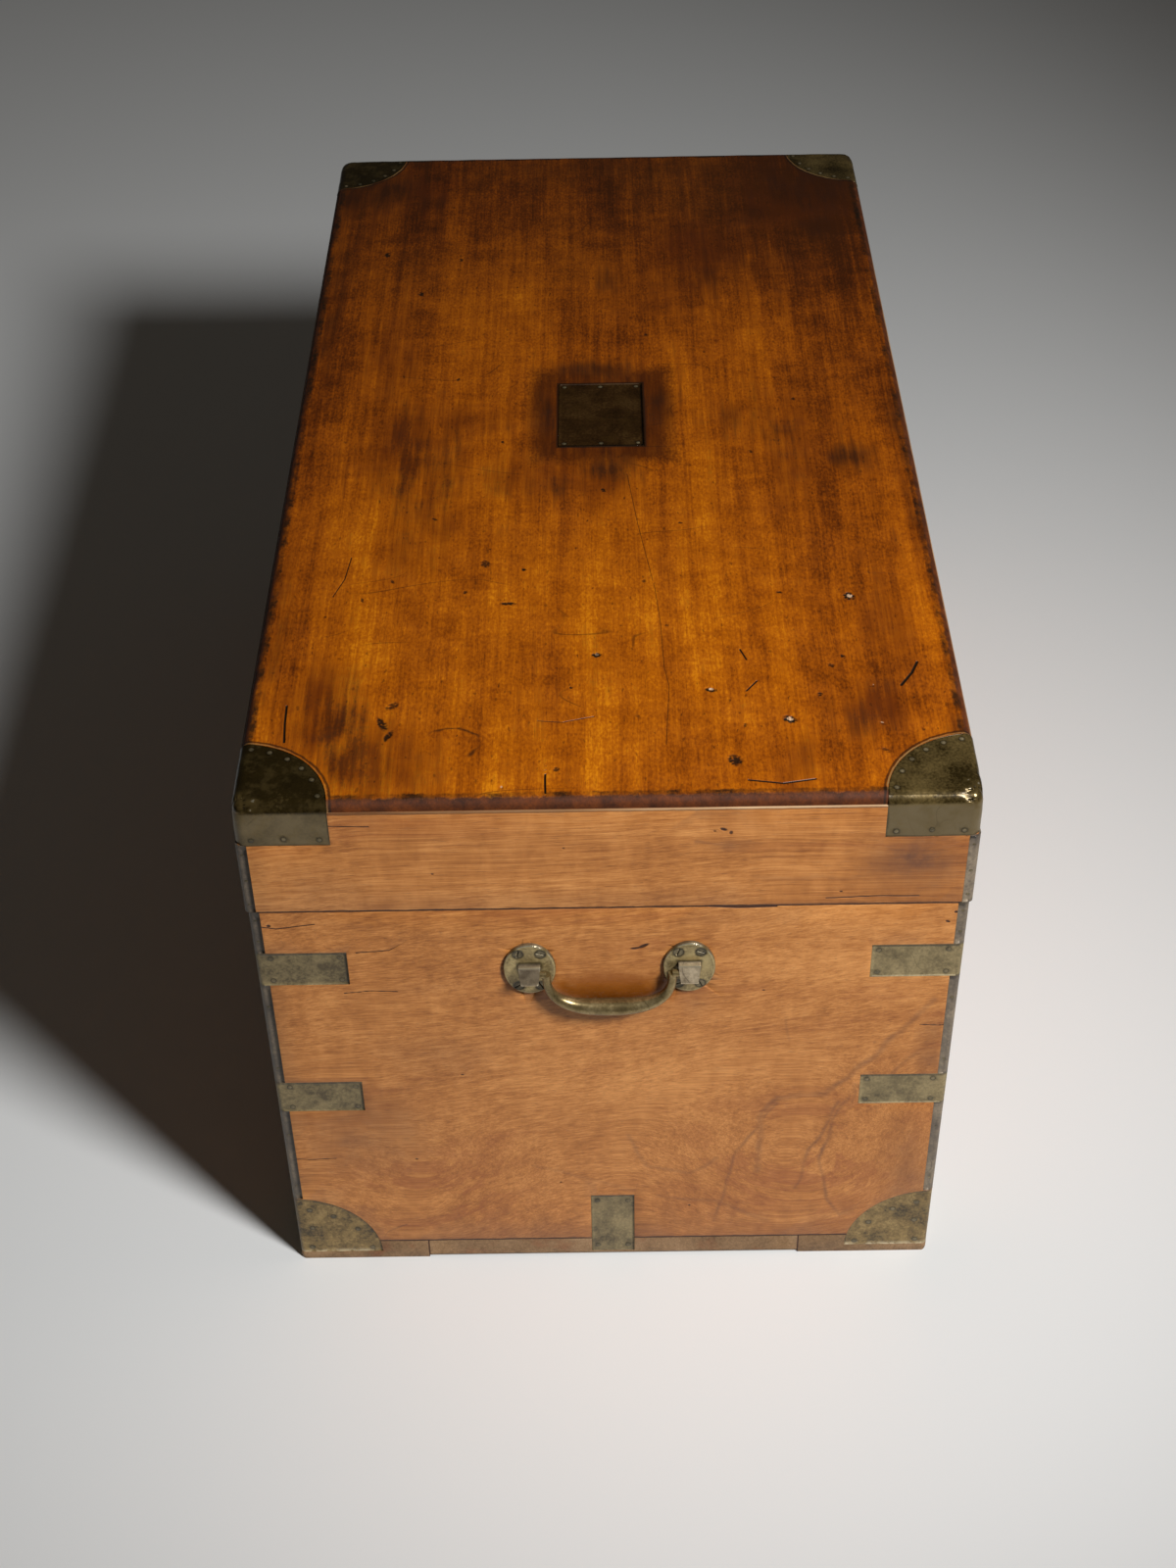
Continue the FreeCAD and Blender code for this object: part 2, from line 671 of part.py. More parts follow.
def link_plate():
    """Plate under the lid's front skirt with two staples that drop into the lock."""
    plate = block("link_plate_blank", ("selvedge_length", LINK_DEPTH, "selvedge_thick"),
                  ("0", LOCK_Y, f"{LID_FOOT} + selvedge_thick / 2"))
    pieces = [plate]
    openings = []
    for side, side_x in SIDES:
        centre_x = f"{side_x} * {STAPLE_X}"
        pieces.append(block(f"staple_{side}", ("staple_thick", "staple_width", "staple_drop"),
                            (centre_x, LOCK_Y, f"{LID_FOOT} - staple_drop / 2")))
        openings.append(block(f"staple_eye_{side}", ("staple_thick * 2",
                              "bolt_thick + 2 * fitting_clearance", "staple_eye"),
                              (centre_x, LOCK_Y,
                               f"{LID_FOOT} - staple_drop + staple_thick + staple_eye / 2")))
    return cut("link_plate_solid", fuse("link_plate_fused", *pieces), *openings)


def keyhole(name, grow, centre_y, length):
    """Keyhole-shaped tool: a round eye over a straight slot."""
    eye_part = rod(name + "_eye", f"key_round + {grow}", length, ("0", centre_y, KEY_Z), "y")
    slot = block(name + "_slot", (f"key_slot + 2 * {grow}", length, f"key_drop + {grow}"),
                 ("0", centre_y, f"{KEY_Z} - (key_drop + {grow}) / 2"))
    return fuse(name, eye_part, slot)


def escutcheon():
    """Keyhole-shaped brass lining, flush in the front board, as deep as the lock allows."""
    length = "(board_thick - lock_deep)"
    centre_y = f"(-case_depth / 2 + {length} / 2)"
    outer = keyhole("lining_outer", "key_lining", centre_y, length)
    inner = keyhole("lining_inner", "0", centre_y, f"{length} + 2 * cutter_overrun")
    return cut("key_escutcheon", outer, inner), outer


# Case boards

WALL_FOOT = "runner_thick"
WALL_HEIGHT = "(case_height - runner_thick)"


def end_blank(name, side_x, depth, foot, height):
    """End board or end skirt: full depth, rebated inside for the long boards' ends."""
    thick = "board_thick"
    body = extruded(name + "_stock", "XY_Plane", rectangle(thick, depth), height)
    outer = size("board_thick") / 2
    rounded(body, "_corners", "corner_rounding", lambda spot: side_x * spot.x > outer - TINY
            and abs(spot.y) > size("case_depth") / 2 - TINY)
    seat(body, (f"{side_x} * ({CASE_X} - {thick} / 2)", "0", foot))
    rebate_x = f"{side_x} * ({CASE_X} - (corner_lap + {thick}) / 2)"
    rebates = [block(f"{name}_rebate_{place}", (f"{thick} - corner_lap", thick, height),
                     (rebate_x, f"{side_y} * ({depth} - {thick}) / 2", f"{foot} + ({height}) / 2"))
               for place, side_y in DEPTHS]
    return cut(name + "_rebated", body, *rebates)


def long_blank(name, side_y, depth, foot, height):
    """Front or back board or skirt, between the laps of the end boards."""
    return block(name + "_blank", ("chest_length - 2 * corner_lap", "board_thick", height),
                 ("0", f"{side_y} * ({depth} - board_thick) / 2", f"{foot} + ({height}) / 2"))


def runner_blank(place, side_y):
    """Thick outer board of the bottom, its outer edges rounded."""
    body = extruded(f"{place}_runner_board", "XY_Plane", rectangle("chest_length", "runner_width"),
                    "runner_thick")
    edge_y = size("runner_width") / 2 - TINY
    half_length = size("chest_length") / 2 - TINY
    rounded(body, "_edges", "corner_rounding", lambda spot: side_y * spot.y > edge_y
            and (spot.z < TINY or abs(spot.x) > half_length))
    return seat(body, ("0", f"{side_y} * ({CASE_Y} - runner_width / 2)", "0"))


def bottom_blank():
    return block("bottom_blank", ("chest_length", "case_depth - 2 * runner_width", "bottom_thick"),
                 ("0", "0", "runner_thick - bottom_thick / 2"))


def top_board_blank():
    """Rebated top: a lip with rounded edges over a plug that drops inside the skirt."""
    lip_size = rectangle("(chest_length - 2 * top_inset)",
                         "(case_depth + 2 * lid_overhang - 2 * top_inset)")
    lip = extruded("top_lip_board", "XY_Plane", lip_size, "top_lip")
    edge_x = size("chest_length") / 2 - size("top_inset") - TINY
    edge_y = size("case_depth") / 2 + size("lid_overhang") - size("top_inset") - TINY
    height = size("top_lip") - TINY
    rounded(lip, "_corners", "top_rounding", lambda spot: abs(spot.x) > edge_x and abs(spot.y) > edge_y)
    rounded(lip, "_rim", "top_rounding", lambda spot: spot.z > height)
    seat(lip, ("0", "0", LEDGE))
    inside = "2 * (board_thick + plug_clearance)"
    deep = "(top_thick - top_lip)"
    plug = block("top_plug", (f"chest_length - {inside}",
                              f"case_depth + 2 * lid_overhang - {inside}", deep),
                 ("0", "0", f"{LEDGE} - {deep} / 2"))
    return fuse("top_blank", lip, plug)


def name_plate():
    plate = extruded("name_plate", "XY_Plane", rectangle("plate_length", "plate_width"), "brass_thick")
    edge_x = size("plate_length") / 2 - TINY
    edge_y = size("plate_width") / 2 - TINY
    rounded(plate, "_corners", "plate_corner", lambda spot: abs(spot.x) > edge_x and abs(spot.y) > edge_y)
    return seat(plate, ("0", "0", f"{LID_TOP} - brass_thick"))


# Assembly

straps = corner_straps()
edging = case_edging()
brackets = foot_brackets()
ends = foot_straps()
lid_edge_strips = lid_edging()
caps, cap_recesses = lid_brackets()
plate = name_plate()
screw, screw_solid = wood_screw()

nodes = [*straps.values(), *edging.values(), *brackets.values(), *ends.values(), lid_edge_strips,
         *caps.values(), plate]

POINTING_DOWN = 0
POINTING_UP = 180
case_top = size("case_height")
lid_foot = evaluated(LID_FOOT)
base_places = (leaf_screw_places(case_top, POINTING_DOWN)
               + lock_screw_places(case_top, POINTING_DOWN))
lid_places = leaf_screw_places(lid_foot, POINTING_UP) + lock_screw_places(lid_foot, POINTING_UP)
handle_places = handle_screw_places()
handle_screws = copies("handle_screws", screw, handle_places)
base_screws = copies("base_screws", screw, base_places)
lid_screws = copies("lid_screws", screw, lid_places)
handle_holes = copies("handle_screw_holes", screw_solid, handle_places)
base_holes = copies("base_screw_holes", screw_solid, base_places)
lid_holes = copies("lid_screw_holes", screw_solid, lid_places)
nodes += [handle_screws, base_screws, lid_screws]

eyes = {}
for side, side_x in SIDES:
    for place, side_y in DEPTHS:
        eyes[side, place] = eye(side, side_x, place, side_y)
        blank = rose(side, side_x, place, side_y)
        nodes.append(eyes[side, place])
        nodes.append(cut(f"rose_{side}_{place}", blank, eyes[side, place], handle_holes))
    nodes.append(bail(side, side_x))

body_leaves, lid_leaves = [], []
for side, side_x in SIDES:
    body_leaf = hinge_leaf(f"hinge_body_leaf_{side}", side_x, "case_height - leaf_thick", (0, 2, 4), "0")
    body_leaves.append(cut(f"hinge_body_leaf_{side}", body_leaf, base_holes))
    lid_leaf = hinge_leaf(f"hinge_lid_leaf_{side}", side_x, LID_FOOT, (1, 3), "running_clearance")
    lid_leaves.append(cut(f"hinge_lid_leaf_{side}", lid_leaf, lid_holes))
nodes += body_leaves + lid_leaves + [hinge_pins()]

case = cut("lock_case", lock_case(), base_holes)
link = cut("link_plate", link_plate(), lid_holes)
lining, lining_outer = escutcheon()
nodes += [case, lock_cap(), lock_bolt(), link, lining]

lock_pocket = block("lock_pocket", ("lock_length", "lock_deep", "lock_height"),
                    ("0", LOCK_Y, f"{LOCK_TOP} - lock_height / 2"))
selvedge_pocket = block("selvedge_pocket", ("selvedge_length", "lock_deep", "selvedge_thick"),
                        ("0", LOCK_Y, f"{LOCK_TOP} + selvedge_thick / 2"))
link_pocket = block("link_pocket", ("selvedge_length", LINK_DEPTH, "selvedge_thick"),
                    ("0", LOCK_Y, f"{LID_FOOT} + selvedge_thick / 2"))

LID_DEPTH = "(case_depth + 2 * lid_overhang)"
SKIRT_HEIGHT = "(skirt_height - seam_gap)"


def at_corners(pieces, *words):
    """The corner pieces whose corner's name holds one of the words."""
    return [piece for key, piece in pieces.items()
            if any(word in (key[1] if isinstance(key, tuple) else key) for word in words)]


for side, side_x in SIDES:
    blank = end_blank(f"{side}_end", side_x, "case_depth", WALL_FOOT, WALL_HEIGHT)
    fittings = (at_corners(straps, side) + at_corners(edging, side) + at_corners(brackets, side)
                + [ends[side], eyes[side, "front"], eyes[side, "back"], handle_holes])
    nodes.append(cut(f"{side}_end_board", blank, *fittings))
    skirt = end_blank(f"{side}_skirt", side_x, LID_DEPTH, LID_FOOT, SKIRT_HEIGHT)
    nodes.append(cut(f"lid_{side}_rail", skirt, lid_edge_strips, *at_corners(cap_recesses, side)))

for place, side_y in DEPTHS:
    board = long_blank(f"{place}_board", side_y, "case_depth", WALL_FOOT, WALL_HEIGHT)
    skirt = long_blank(f"{place}_skirt", side_y, LID_DEPTH, LID_FOOT, SKIRT_HEIGHT)
    fittings = at_corners(straps, place) + at_corners(brackets, place)
    inlays = at_corners(cap_recesses, place)
    if place == "front":
        fittings += [lock_pocket, selvedge_pocket, lining_outer, base_holes]
        inlays += [link_pocket, lid_holes]
    else:
        fittings += body_leaves + [base_holes]
        inlays += lid_leaves + [lid_holes]
    nodes.append(cut(f"{place}_board", board, *fittings))
    nodes.append(cut(f"lid_{place}_rail", skirt, *inlays))
    nodes.append(cut(f"{place}_runner", runner_blank(place, side_y), *at_corners(brackets, place)))

nodes.append(cut("bottom_board", bottom_blank(), *ends.values()))
nodes.append(cut("lid_top_board", top_board_blank(), *cap_recesses.values(), plate))

for node in nodes:
    node.Label = node.Name
doc.recompute()

for thing in doc.Objects:
    if "Invalid" in thing.State or "Error" in thing.State:
        raise RuntimeError(f"{thing.Name} failed: {thing.State}")
for node in nodes:
    if node.Shape.isNull() or not node.Shape.isValid() or not node.Shape.Solids:
        raise RuntimeError(f"{node.Label} has no valid solid")

os.makedirs("parts", exist_ok=True)
for node in nodes:
    node.Shape.exportStep(f"parts/{node.Label}.step")
    print(f"{node.Label:28s} solids {len(node.Shape.Solids):3d}  volume {node.Shape.Volume:12.1f}")
print(len(nodes), "nodes")
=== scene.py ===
import math
from functools import partial

import bmesh
import bpy
import numpy as np
from mathutils import Matrix, Vector, noise


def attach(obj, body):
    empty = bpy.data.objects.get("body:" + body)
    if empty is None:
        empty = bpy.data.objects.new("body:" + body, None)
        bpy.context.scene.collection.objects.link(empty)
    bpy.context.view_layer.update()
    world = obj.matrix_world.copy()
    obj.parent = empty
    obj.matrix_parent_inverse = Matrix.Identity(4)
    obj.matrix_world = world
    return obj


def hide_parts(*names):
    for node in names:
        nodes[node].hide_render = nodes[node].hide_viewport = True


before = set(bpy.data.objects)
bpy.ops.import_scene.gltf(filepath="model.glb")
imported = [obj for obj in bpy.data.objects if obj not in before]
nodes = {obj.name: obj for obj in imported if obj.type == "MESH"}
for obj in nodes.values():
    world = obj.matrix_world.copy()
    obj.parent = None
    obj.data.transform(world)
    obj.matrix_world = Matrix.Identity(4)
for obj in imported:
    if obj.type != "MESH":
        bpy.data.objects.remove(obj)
bpy.context.view_layer.update()
metre = 0.001                           # shapes are built in millimetres, then scaled
print("frame loaded:", len(nodes), "nodes")

corners = {"front_left": (-1, -1), "front_right": (1, -1), "back_right": (1, 1), "back_left": (-1, 1)}
chestSet = {"endX": 485.0, "caseY": 250.0, "lidY": 252.0, "top": 482.5, "capRound": 8.0, "cornerRound": 4.0}

cameraSet = {
    "place": (-1.6204, 0.0015, 1.4728),
    "down": math.radians(40.673),
    "turn": math.radians(0.548),        # from +X towards +Y
    "tilt": math.radians(-1.224),
    "lens": 52.14,                      # mm, on a 36 mm long side
    "farthest": 100,
}


def addObject(name, data):
    item = bpy.data.objects.new(name, data)
    bpy.context.scene.collection.objects.link(item)
    return item


def makeCamera(values):
    data = bpy.data.cameras.new("studioCamera")
    data.lens, data.clip_end = values["lens"], values["farthest"]
    camera = addObject("studioCamera", data)
    quarter = math.radians(90)
    # level and along +X, then turned, lowered and tilted
    camera.matrix_world = (Matrix.Translation(Vector(values["place"]))
                           @ Matrix.Rotation(values["turn"] - quarter, 4, "Z")
                           @ Matrix.Rotation(quarter - values["down"], 4, "X")
                           @ Matrix.Rotation(values["tilt"], 4, "Z"))
    bpy.context.scene.camera = camera


studioSet = {
    "floorHalf": 15.0,
    "floor": {"Base Color": (0.80, 0.804, 0.785, 1), "Roughness": 0.6},
    "world": {"Color": (1.0, 0.90, 0.78, 1), "Strength": 0.031},
    "key": {"spot_size": math.radians(76.5), "spot_blend": 0.986, "shadow_soft_size": 0.25,
            "energy": 292.0, "color": (0.98, 0.985, 1.0)},
    "keyPlace": (-1.521, -1.103, 1.918),
    "keyAim": (0.492, 0.495, 0.0),
}


def fillSockets(node, sockets):
    for socket, value in sockets.items():
        if isinstance(value, bpy.types.NodeSocket):
            node.id_data.links.new(value, node.inputs[socket])
        else:
            node.inputs[socket].default_value = value
    return node


def makeStudio(values):
    build = bmesh.new()
    bmesh.ops.create_grid(build, x_segments=1, y_segments=1, size=values["floorHalf"])
    mesh = bpy.data.meshes.new("studioFloor")
    build.to_mesh(mesh)
    build.free()
    floor = addObject("studioFloor", mesh)
    paint = bpy.data.materials.new("studioFloor")
    paint.use_nodes = True
    fillSockets(paint.node_tree.nodes["Principled BSDF"], values["floor"])
    mesh.materials.append(paint)
    world = bpy.data.worlds.new("studio")
    bpy.context.scene.world = world
    world.use_nodes = True
    fillSockets(world.node_tree.nodes["Background"], values["world"])
    lamp = bpy.data.lights.new("keyLamp", "SPOT")
    for setting, value in values["key"].items():
        setattr(lamp, setting, value)
    key = addObject("keyLamp", lamp)
    key.location = values["keyPlace"]
    key.rotation_euler = (Vector(values["keyAim"]) - key.location).to_track_quat("-Z", "Y").to_euler()


makeCamera(cameraSet)
makeStudio(studioSet)
bpy.context.scene.view_settings.view_transform = "Standard"
print("camera, floor and light ready")

shop = {}                               # holds the node tree that is being filled


def addNode(kind, sockets, **settings):
    node = shop["tree"].nodes.new("ShaderNode" + kind)
    for name, value in settings.items():
        setattr(node, name, value)
    return fillSockets(node, sockets)


def maths(operation, first, second=0.0):
    return addNode("Math", {0: first, 1: second}, operation=operation).outputs[0]


times, minus, most, magnitude, ratioOf, isLess = (
    partial(maths, name) for name in ("MULTIPLY", "SUBTRACT", "MAXIMUM", "ABSOLUTE", "DIVIDE", "LESS_THAN"))


def total(*values):
    # the sum of values and of pairs of a value and its weight
    terms = [times(*value) if isinstance(value, tuple) else value for value in values]
    result = terms[0]
    for term in terms[1:]:
        result = maths("ADD", result, term)
    return result


def vectorMaths(operation, *inputs):
    return addNode("VectorMath", dict(enumerate(inputs)), operation=operation).outputs


def stretch(vector, factors):
    return vectorMaths("MULTIPLY", vector, factors)[0]


def shifted(vector, offset):
    return vectorMaths("ADD", vector, offset)[0]


def combined(**axes):
    return addNode("CombineXYZ", axes).outputs[0]


def parts(vector):
    return addNode("SeparateXYZ", {"Vector": vector}).outputs


def noiseOf(vector, scale, detail=2.0, roughness=0.5, distortion=0.0):
    if isinstance(scale, tuple):
        vector, scale = stretch(vector, scale), 1.0
    return addNode("TexNoise", {"Vector": vector, "Scale": scale, "Detail": detail, "Roughness": roughness,
                                "Distortion": distortion}).outputs["Fac"]


def spread(value, low, high, toLow=0.0, toHigh=1.0, smooth=False):
    return addNode("MapRange", {"Value": value, "From Min": low, "From Max": high, "To Min": toLow,
                                "To Max": toHigh},
                   interpolation_type="SMOOTHSTEP" if smooth else "LINEAR").outputs[0]


def clouds(vector, scale, detail=2.0, roughness=0.5, low=0.3, high=0.7, distortion=0.0):
    # noise spread out between two of its values
    return spread(noiseOf(vector, scale, detail, roughness, distortion), low, high)


def ramp(value, stops):
    node = addNode("ValToRGB", {"Fac": value})
    points = node.color_ramp.elements
    for point, (place, colour) in zip(points, (stops[0], stops[-1])):
        point.position, point.color = place, (*colour, 1)
    for place, colour in stops[1:-1]:
        points.new(place).color = (*colour, 1)
    return node.outputs["Color"]


def layered(values, colour, *layers):
    # each layer has a colour or its name, a mask and a weight, and lies over the ones before it
    for paint, mask, weight in layers:
        paint = values[paint] if isinstance(paint, str) else paint
        colour = addNode("Mix", {0: times(mask, weight), 6: colour, 7: paint}, data_type="RGBA").outputs[2]
    return colour


def near(place, centre, inner, outer):
    return spread(vectorMaths("DISTANCE", place, centre)["Value"], outer, inner, smooth=True)


def beyond(place, halfX, halfY):
    # distance out of a rectangle about the middle, below 0 inside it
    x, y = parts(place)[:2]
    return most(minus(magnitude(x), halfX), minus(magnitude(y), halfY))


def lineAt(value, middle, half):
    # 1 on a thin line where the value passes the middle
    return spread(magnitude(minus(value, middle)), half, half * 0.45)


def painted(name):
    return addNode("Attribute", {}, attribute_name=name).outputs["Fac"]


def newGroup(name, **inputs):
    tree = shop["tree"] = bpy.data.node_groups.new(name, "ShaderNodeTree")
    tree.interface.new_socket("Vector", in_out="INPUT", socket_type="NodeSocketVector")
    for label, value in inputs.items():
        tree.interface.new_socket(label, in_out="INPUT", socket_type="NodeSocketFloat").default_value = value
    return tree.nodes.new("NodeGroupInput").outputs


def closeGroup(**outputs):
    tree = shop["tree"]
    for label in outputs:
        tree.interface.new_socket(label, in_out="OUTPUT", socket_type="NodeSocketFloat")
    fillSockets(tree.nodes.new("NodeGroupOutput"), outputs)
    return tree


def useGroup(group, **sockets):
    return addNode("Group", sockets, node_tree=group).outputs


def makeGrainGroup():
    # wood grain along X: broad bands, fine fibres, short pores and a mottle across them
    given = newGroup("woodGrain", Waviness=0.006, Band=38.0, Fibre=620.0, Mottle=90.0, Curl=0.0, Offset=0.0)
    straight = given["Vector"]

    def bend(factors, detail, amount):
        return times(minus(noiseOf(straight, factors, detail), 0.5), amount)
    offset = total(bend((2.2, 6.0, 6.0), 2.0, given["Waviness"]), bend((9.0, 14.0, 14.0), 1.0, given["Curl"]),
                   given["Offset"])
    bent = shifted(straight, combined(Y=offset, Z=offset))

    def along(slow, across, *noise):
        return clouds(stretch(bent, combined(X=slow, Y=across, Z=across)), 1.0, *noise)
    fibre = total((along(14.0, given["Fibre"], 3.0, 0.75), 0.5),
                  (along(3.0, times(given["Fibre"], 0.38), 4.0, 0.7), 0.5))
    pore = along(80.0, times(given["Fibre"], 1.6), 1.0, 0.5, 0.62, 0.76)
    mottle = along(given["Mottle"], times(given["Mottle"], 0.4), 2.5, 0.6, 0.32, 0.68, 0.5)
    return closeGroup(Band=along(1.3, given["Band"], 4.0, 0.62), Fibre=fibre, Pore=pore, Mottle=mottle,
                      Height=minus(total((fibre, 0.5), (mottle, 0.5)), pore))


def makeKnockGroup():
    # small ragged knocks in a share of the cells
    given = newGroup("smallKnocks", Scale=60.0, Share=0.2, Size=0.1, Ragged=0.0025)
    place = given["Vector"]
    ragged = addNode("TexNoise", {"Vector": place, "Scale": 380.0, "Detail": 1.0}).outputs["Color"]
    nudge = addNode("VectorMath", {0: ragged, "Scale": given["Ragged"]}, operation="SCALE").outputs[0]
    cells = addNode("TexVoronoi", {"Vector": shifted(place, nudge), "Scale": given["Scale"]}).outputs
    pick = addNode("SeparateColor", {"Color": cells["Color"]}).outputs
    kept = isLess(pick[0], given["Share"])
    ratio = ratioOf(cells["Distance"], times(given["Size"], total(0.4, pick[1])))
    mark = spread(ratio, 1.0, 0.5, smooth=True)
    rim = minus(spread(ratio, 1.7, 1.05, smooth=True), mark)
    return closeGroup(Mark=times(mark, kept), Rim=times(rim, kept))


def makeHairlineGroup():
    # hairline scratches that come and go
    given = newGroup("hairlines", Scale=9.0, Width=0.004)
    place = given["Vector"]
    away = magnitude(minus(noiseOf(place, given["Scale"], 1.0, distortion=0.4), 0.5))
    line = spread(ratioOf(away, given["Width"]), 1.0, 0.3)
    return closeGroup(Line=times(line, clouds(place, 31.0, 1.0, 0.5, 0.52, 0.62)))


def makeTarnishGroup():
    # brass tarnish: clouds, small specks, rubbed places and a beaten height
    given = newGroup("brassTarnish", Cloud=35.0, Speck=500.0)
    place = given["Vector"]
    speck = noiseOf(place, given["Speck"], 2.0, 0.6)
    return closeGroup(Cloud=clouds(place, given["Cloud"], 4.0, 0.62, 0.32, 0.68, 0.3),
                      Speck=spread(speck, 0.35, 0.7), Rubbed=clouds(place, 80.0, 5.0, 0.7, 0.5, 0.68),
                      Height=total((noiseOf(place, 75.0), 0.8), (speck, 0.10)))


def makeInsideGroup():
    # 1 on the faces that look into the chest or into the open lid
    given = newGroup("insideFaces", EndX=0.4664, SideY=0.2334, Floor=0.0206)
    x, y, z = parts(given["Vector"])
    within = times(isLess(magnitude(x), given["EndX"]), isLess(magnitude(y), given["SideY"]))
    return closeGroup(Inside=times(within, isLess(given["Floor"], z)))


woodGrain, smallKnocks, hairlines = makeGrainGroup(), makeKnockGroup(), makeHairlineGroup()
brassTarnish, insideFaces = makeTarnishGroup(), makeInsideGroup()


def newFinish(name, **sockets):
    material = bpy.data.materials.new(name)
    material.use_nodes = True
    shop["tree"] = material.node_tree
    shader = material.node_tree.nodes["Principled BSDF"]
    for socket, value in sockets.items():
        shader.inputs[socket.replace("_", " ")].default_value = value
    return material, shader, addNode("TexCoord", {}).outputs["Object"]


def bumpOf(height, strength, distance):
    return addNode("Bump", {"Height": height, "Strength": strength, "Distance": distance}).outputs["Normal"]


def knocksOn(place, squash, scale, share, size, ragged):
    return useGroup(smallKnocks, Vector=stretch(place, (squash, 1.0, 1.0)), Scale=scale, Share=share, Size=size,
                    Ragged=ragged)


shellacSet = {
    "tones": ((0.0, (0.048, 0.0095, 0.0006)), (0.25, (0.125, 0.025, 0.0007)), (0.5, (0.27, 0.060, 0.0009)),
              (0.75, (0.42, 0.106, 0.0012)), (1.0, (0.64, 0.205, 0.003))),
    "stain": (0.030, 0.0076, 0.0010, 1),
    "redStain": (0.105, 0.019, 0.0012, 1),
    "halo": (0.062, 0.0125, 0.0008, 1),
    "veil": (0.060, 0.0185, 0.0025, 1),
    "soot": (0.010, 0.0055, 0.0025, 1),
    "rim": ((0.0, (0.015, 0.0035, 0.0006)), (0.45, (0.074, 0.017, 0.0018)), (0.8, (0.140, 0.032, 0.003)),
            (1.0, (0.36, 0.155, 0.038))),
    "bare": (0.62, 0.40, 0.24, 1),
    "filler": (0.25, 0.145, 0.050, 1),
    "plateHalf": (0.0492, 0.0352), "flatHalf": (0.4768, 0.2438), "capCentre": (0.485, 0.252),
    "haloReach": (0.031, 0.015), "bandReach": (0.0016, 0.0032),
    "fillerLine": (0.0657, 0.0007), "capGap": (0.0673, 0.0012), "plateGap": (0.0004, 0.0014),
    "darkPlace": ((0.36, -0.17, 0.4825), 0.02, 0.26),
    "underside": (0.4744, 0.4738),
}


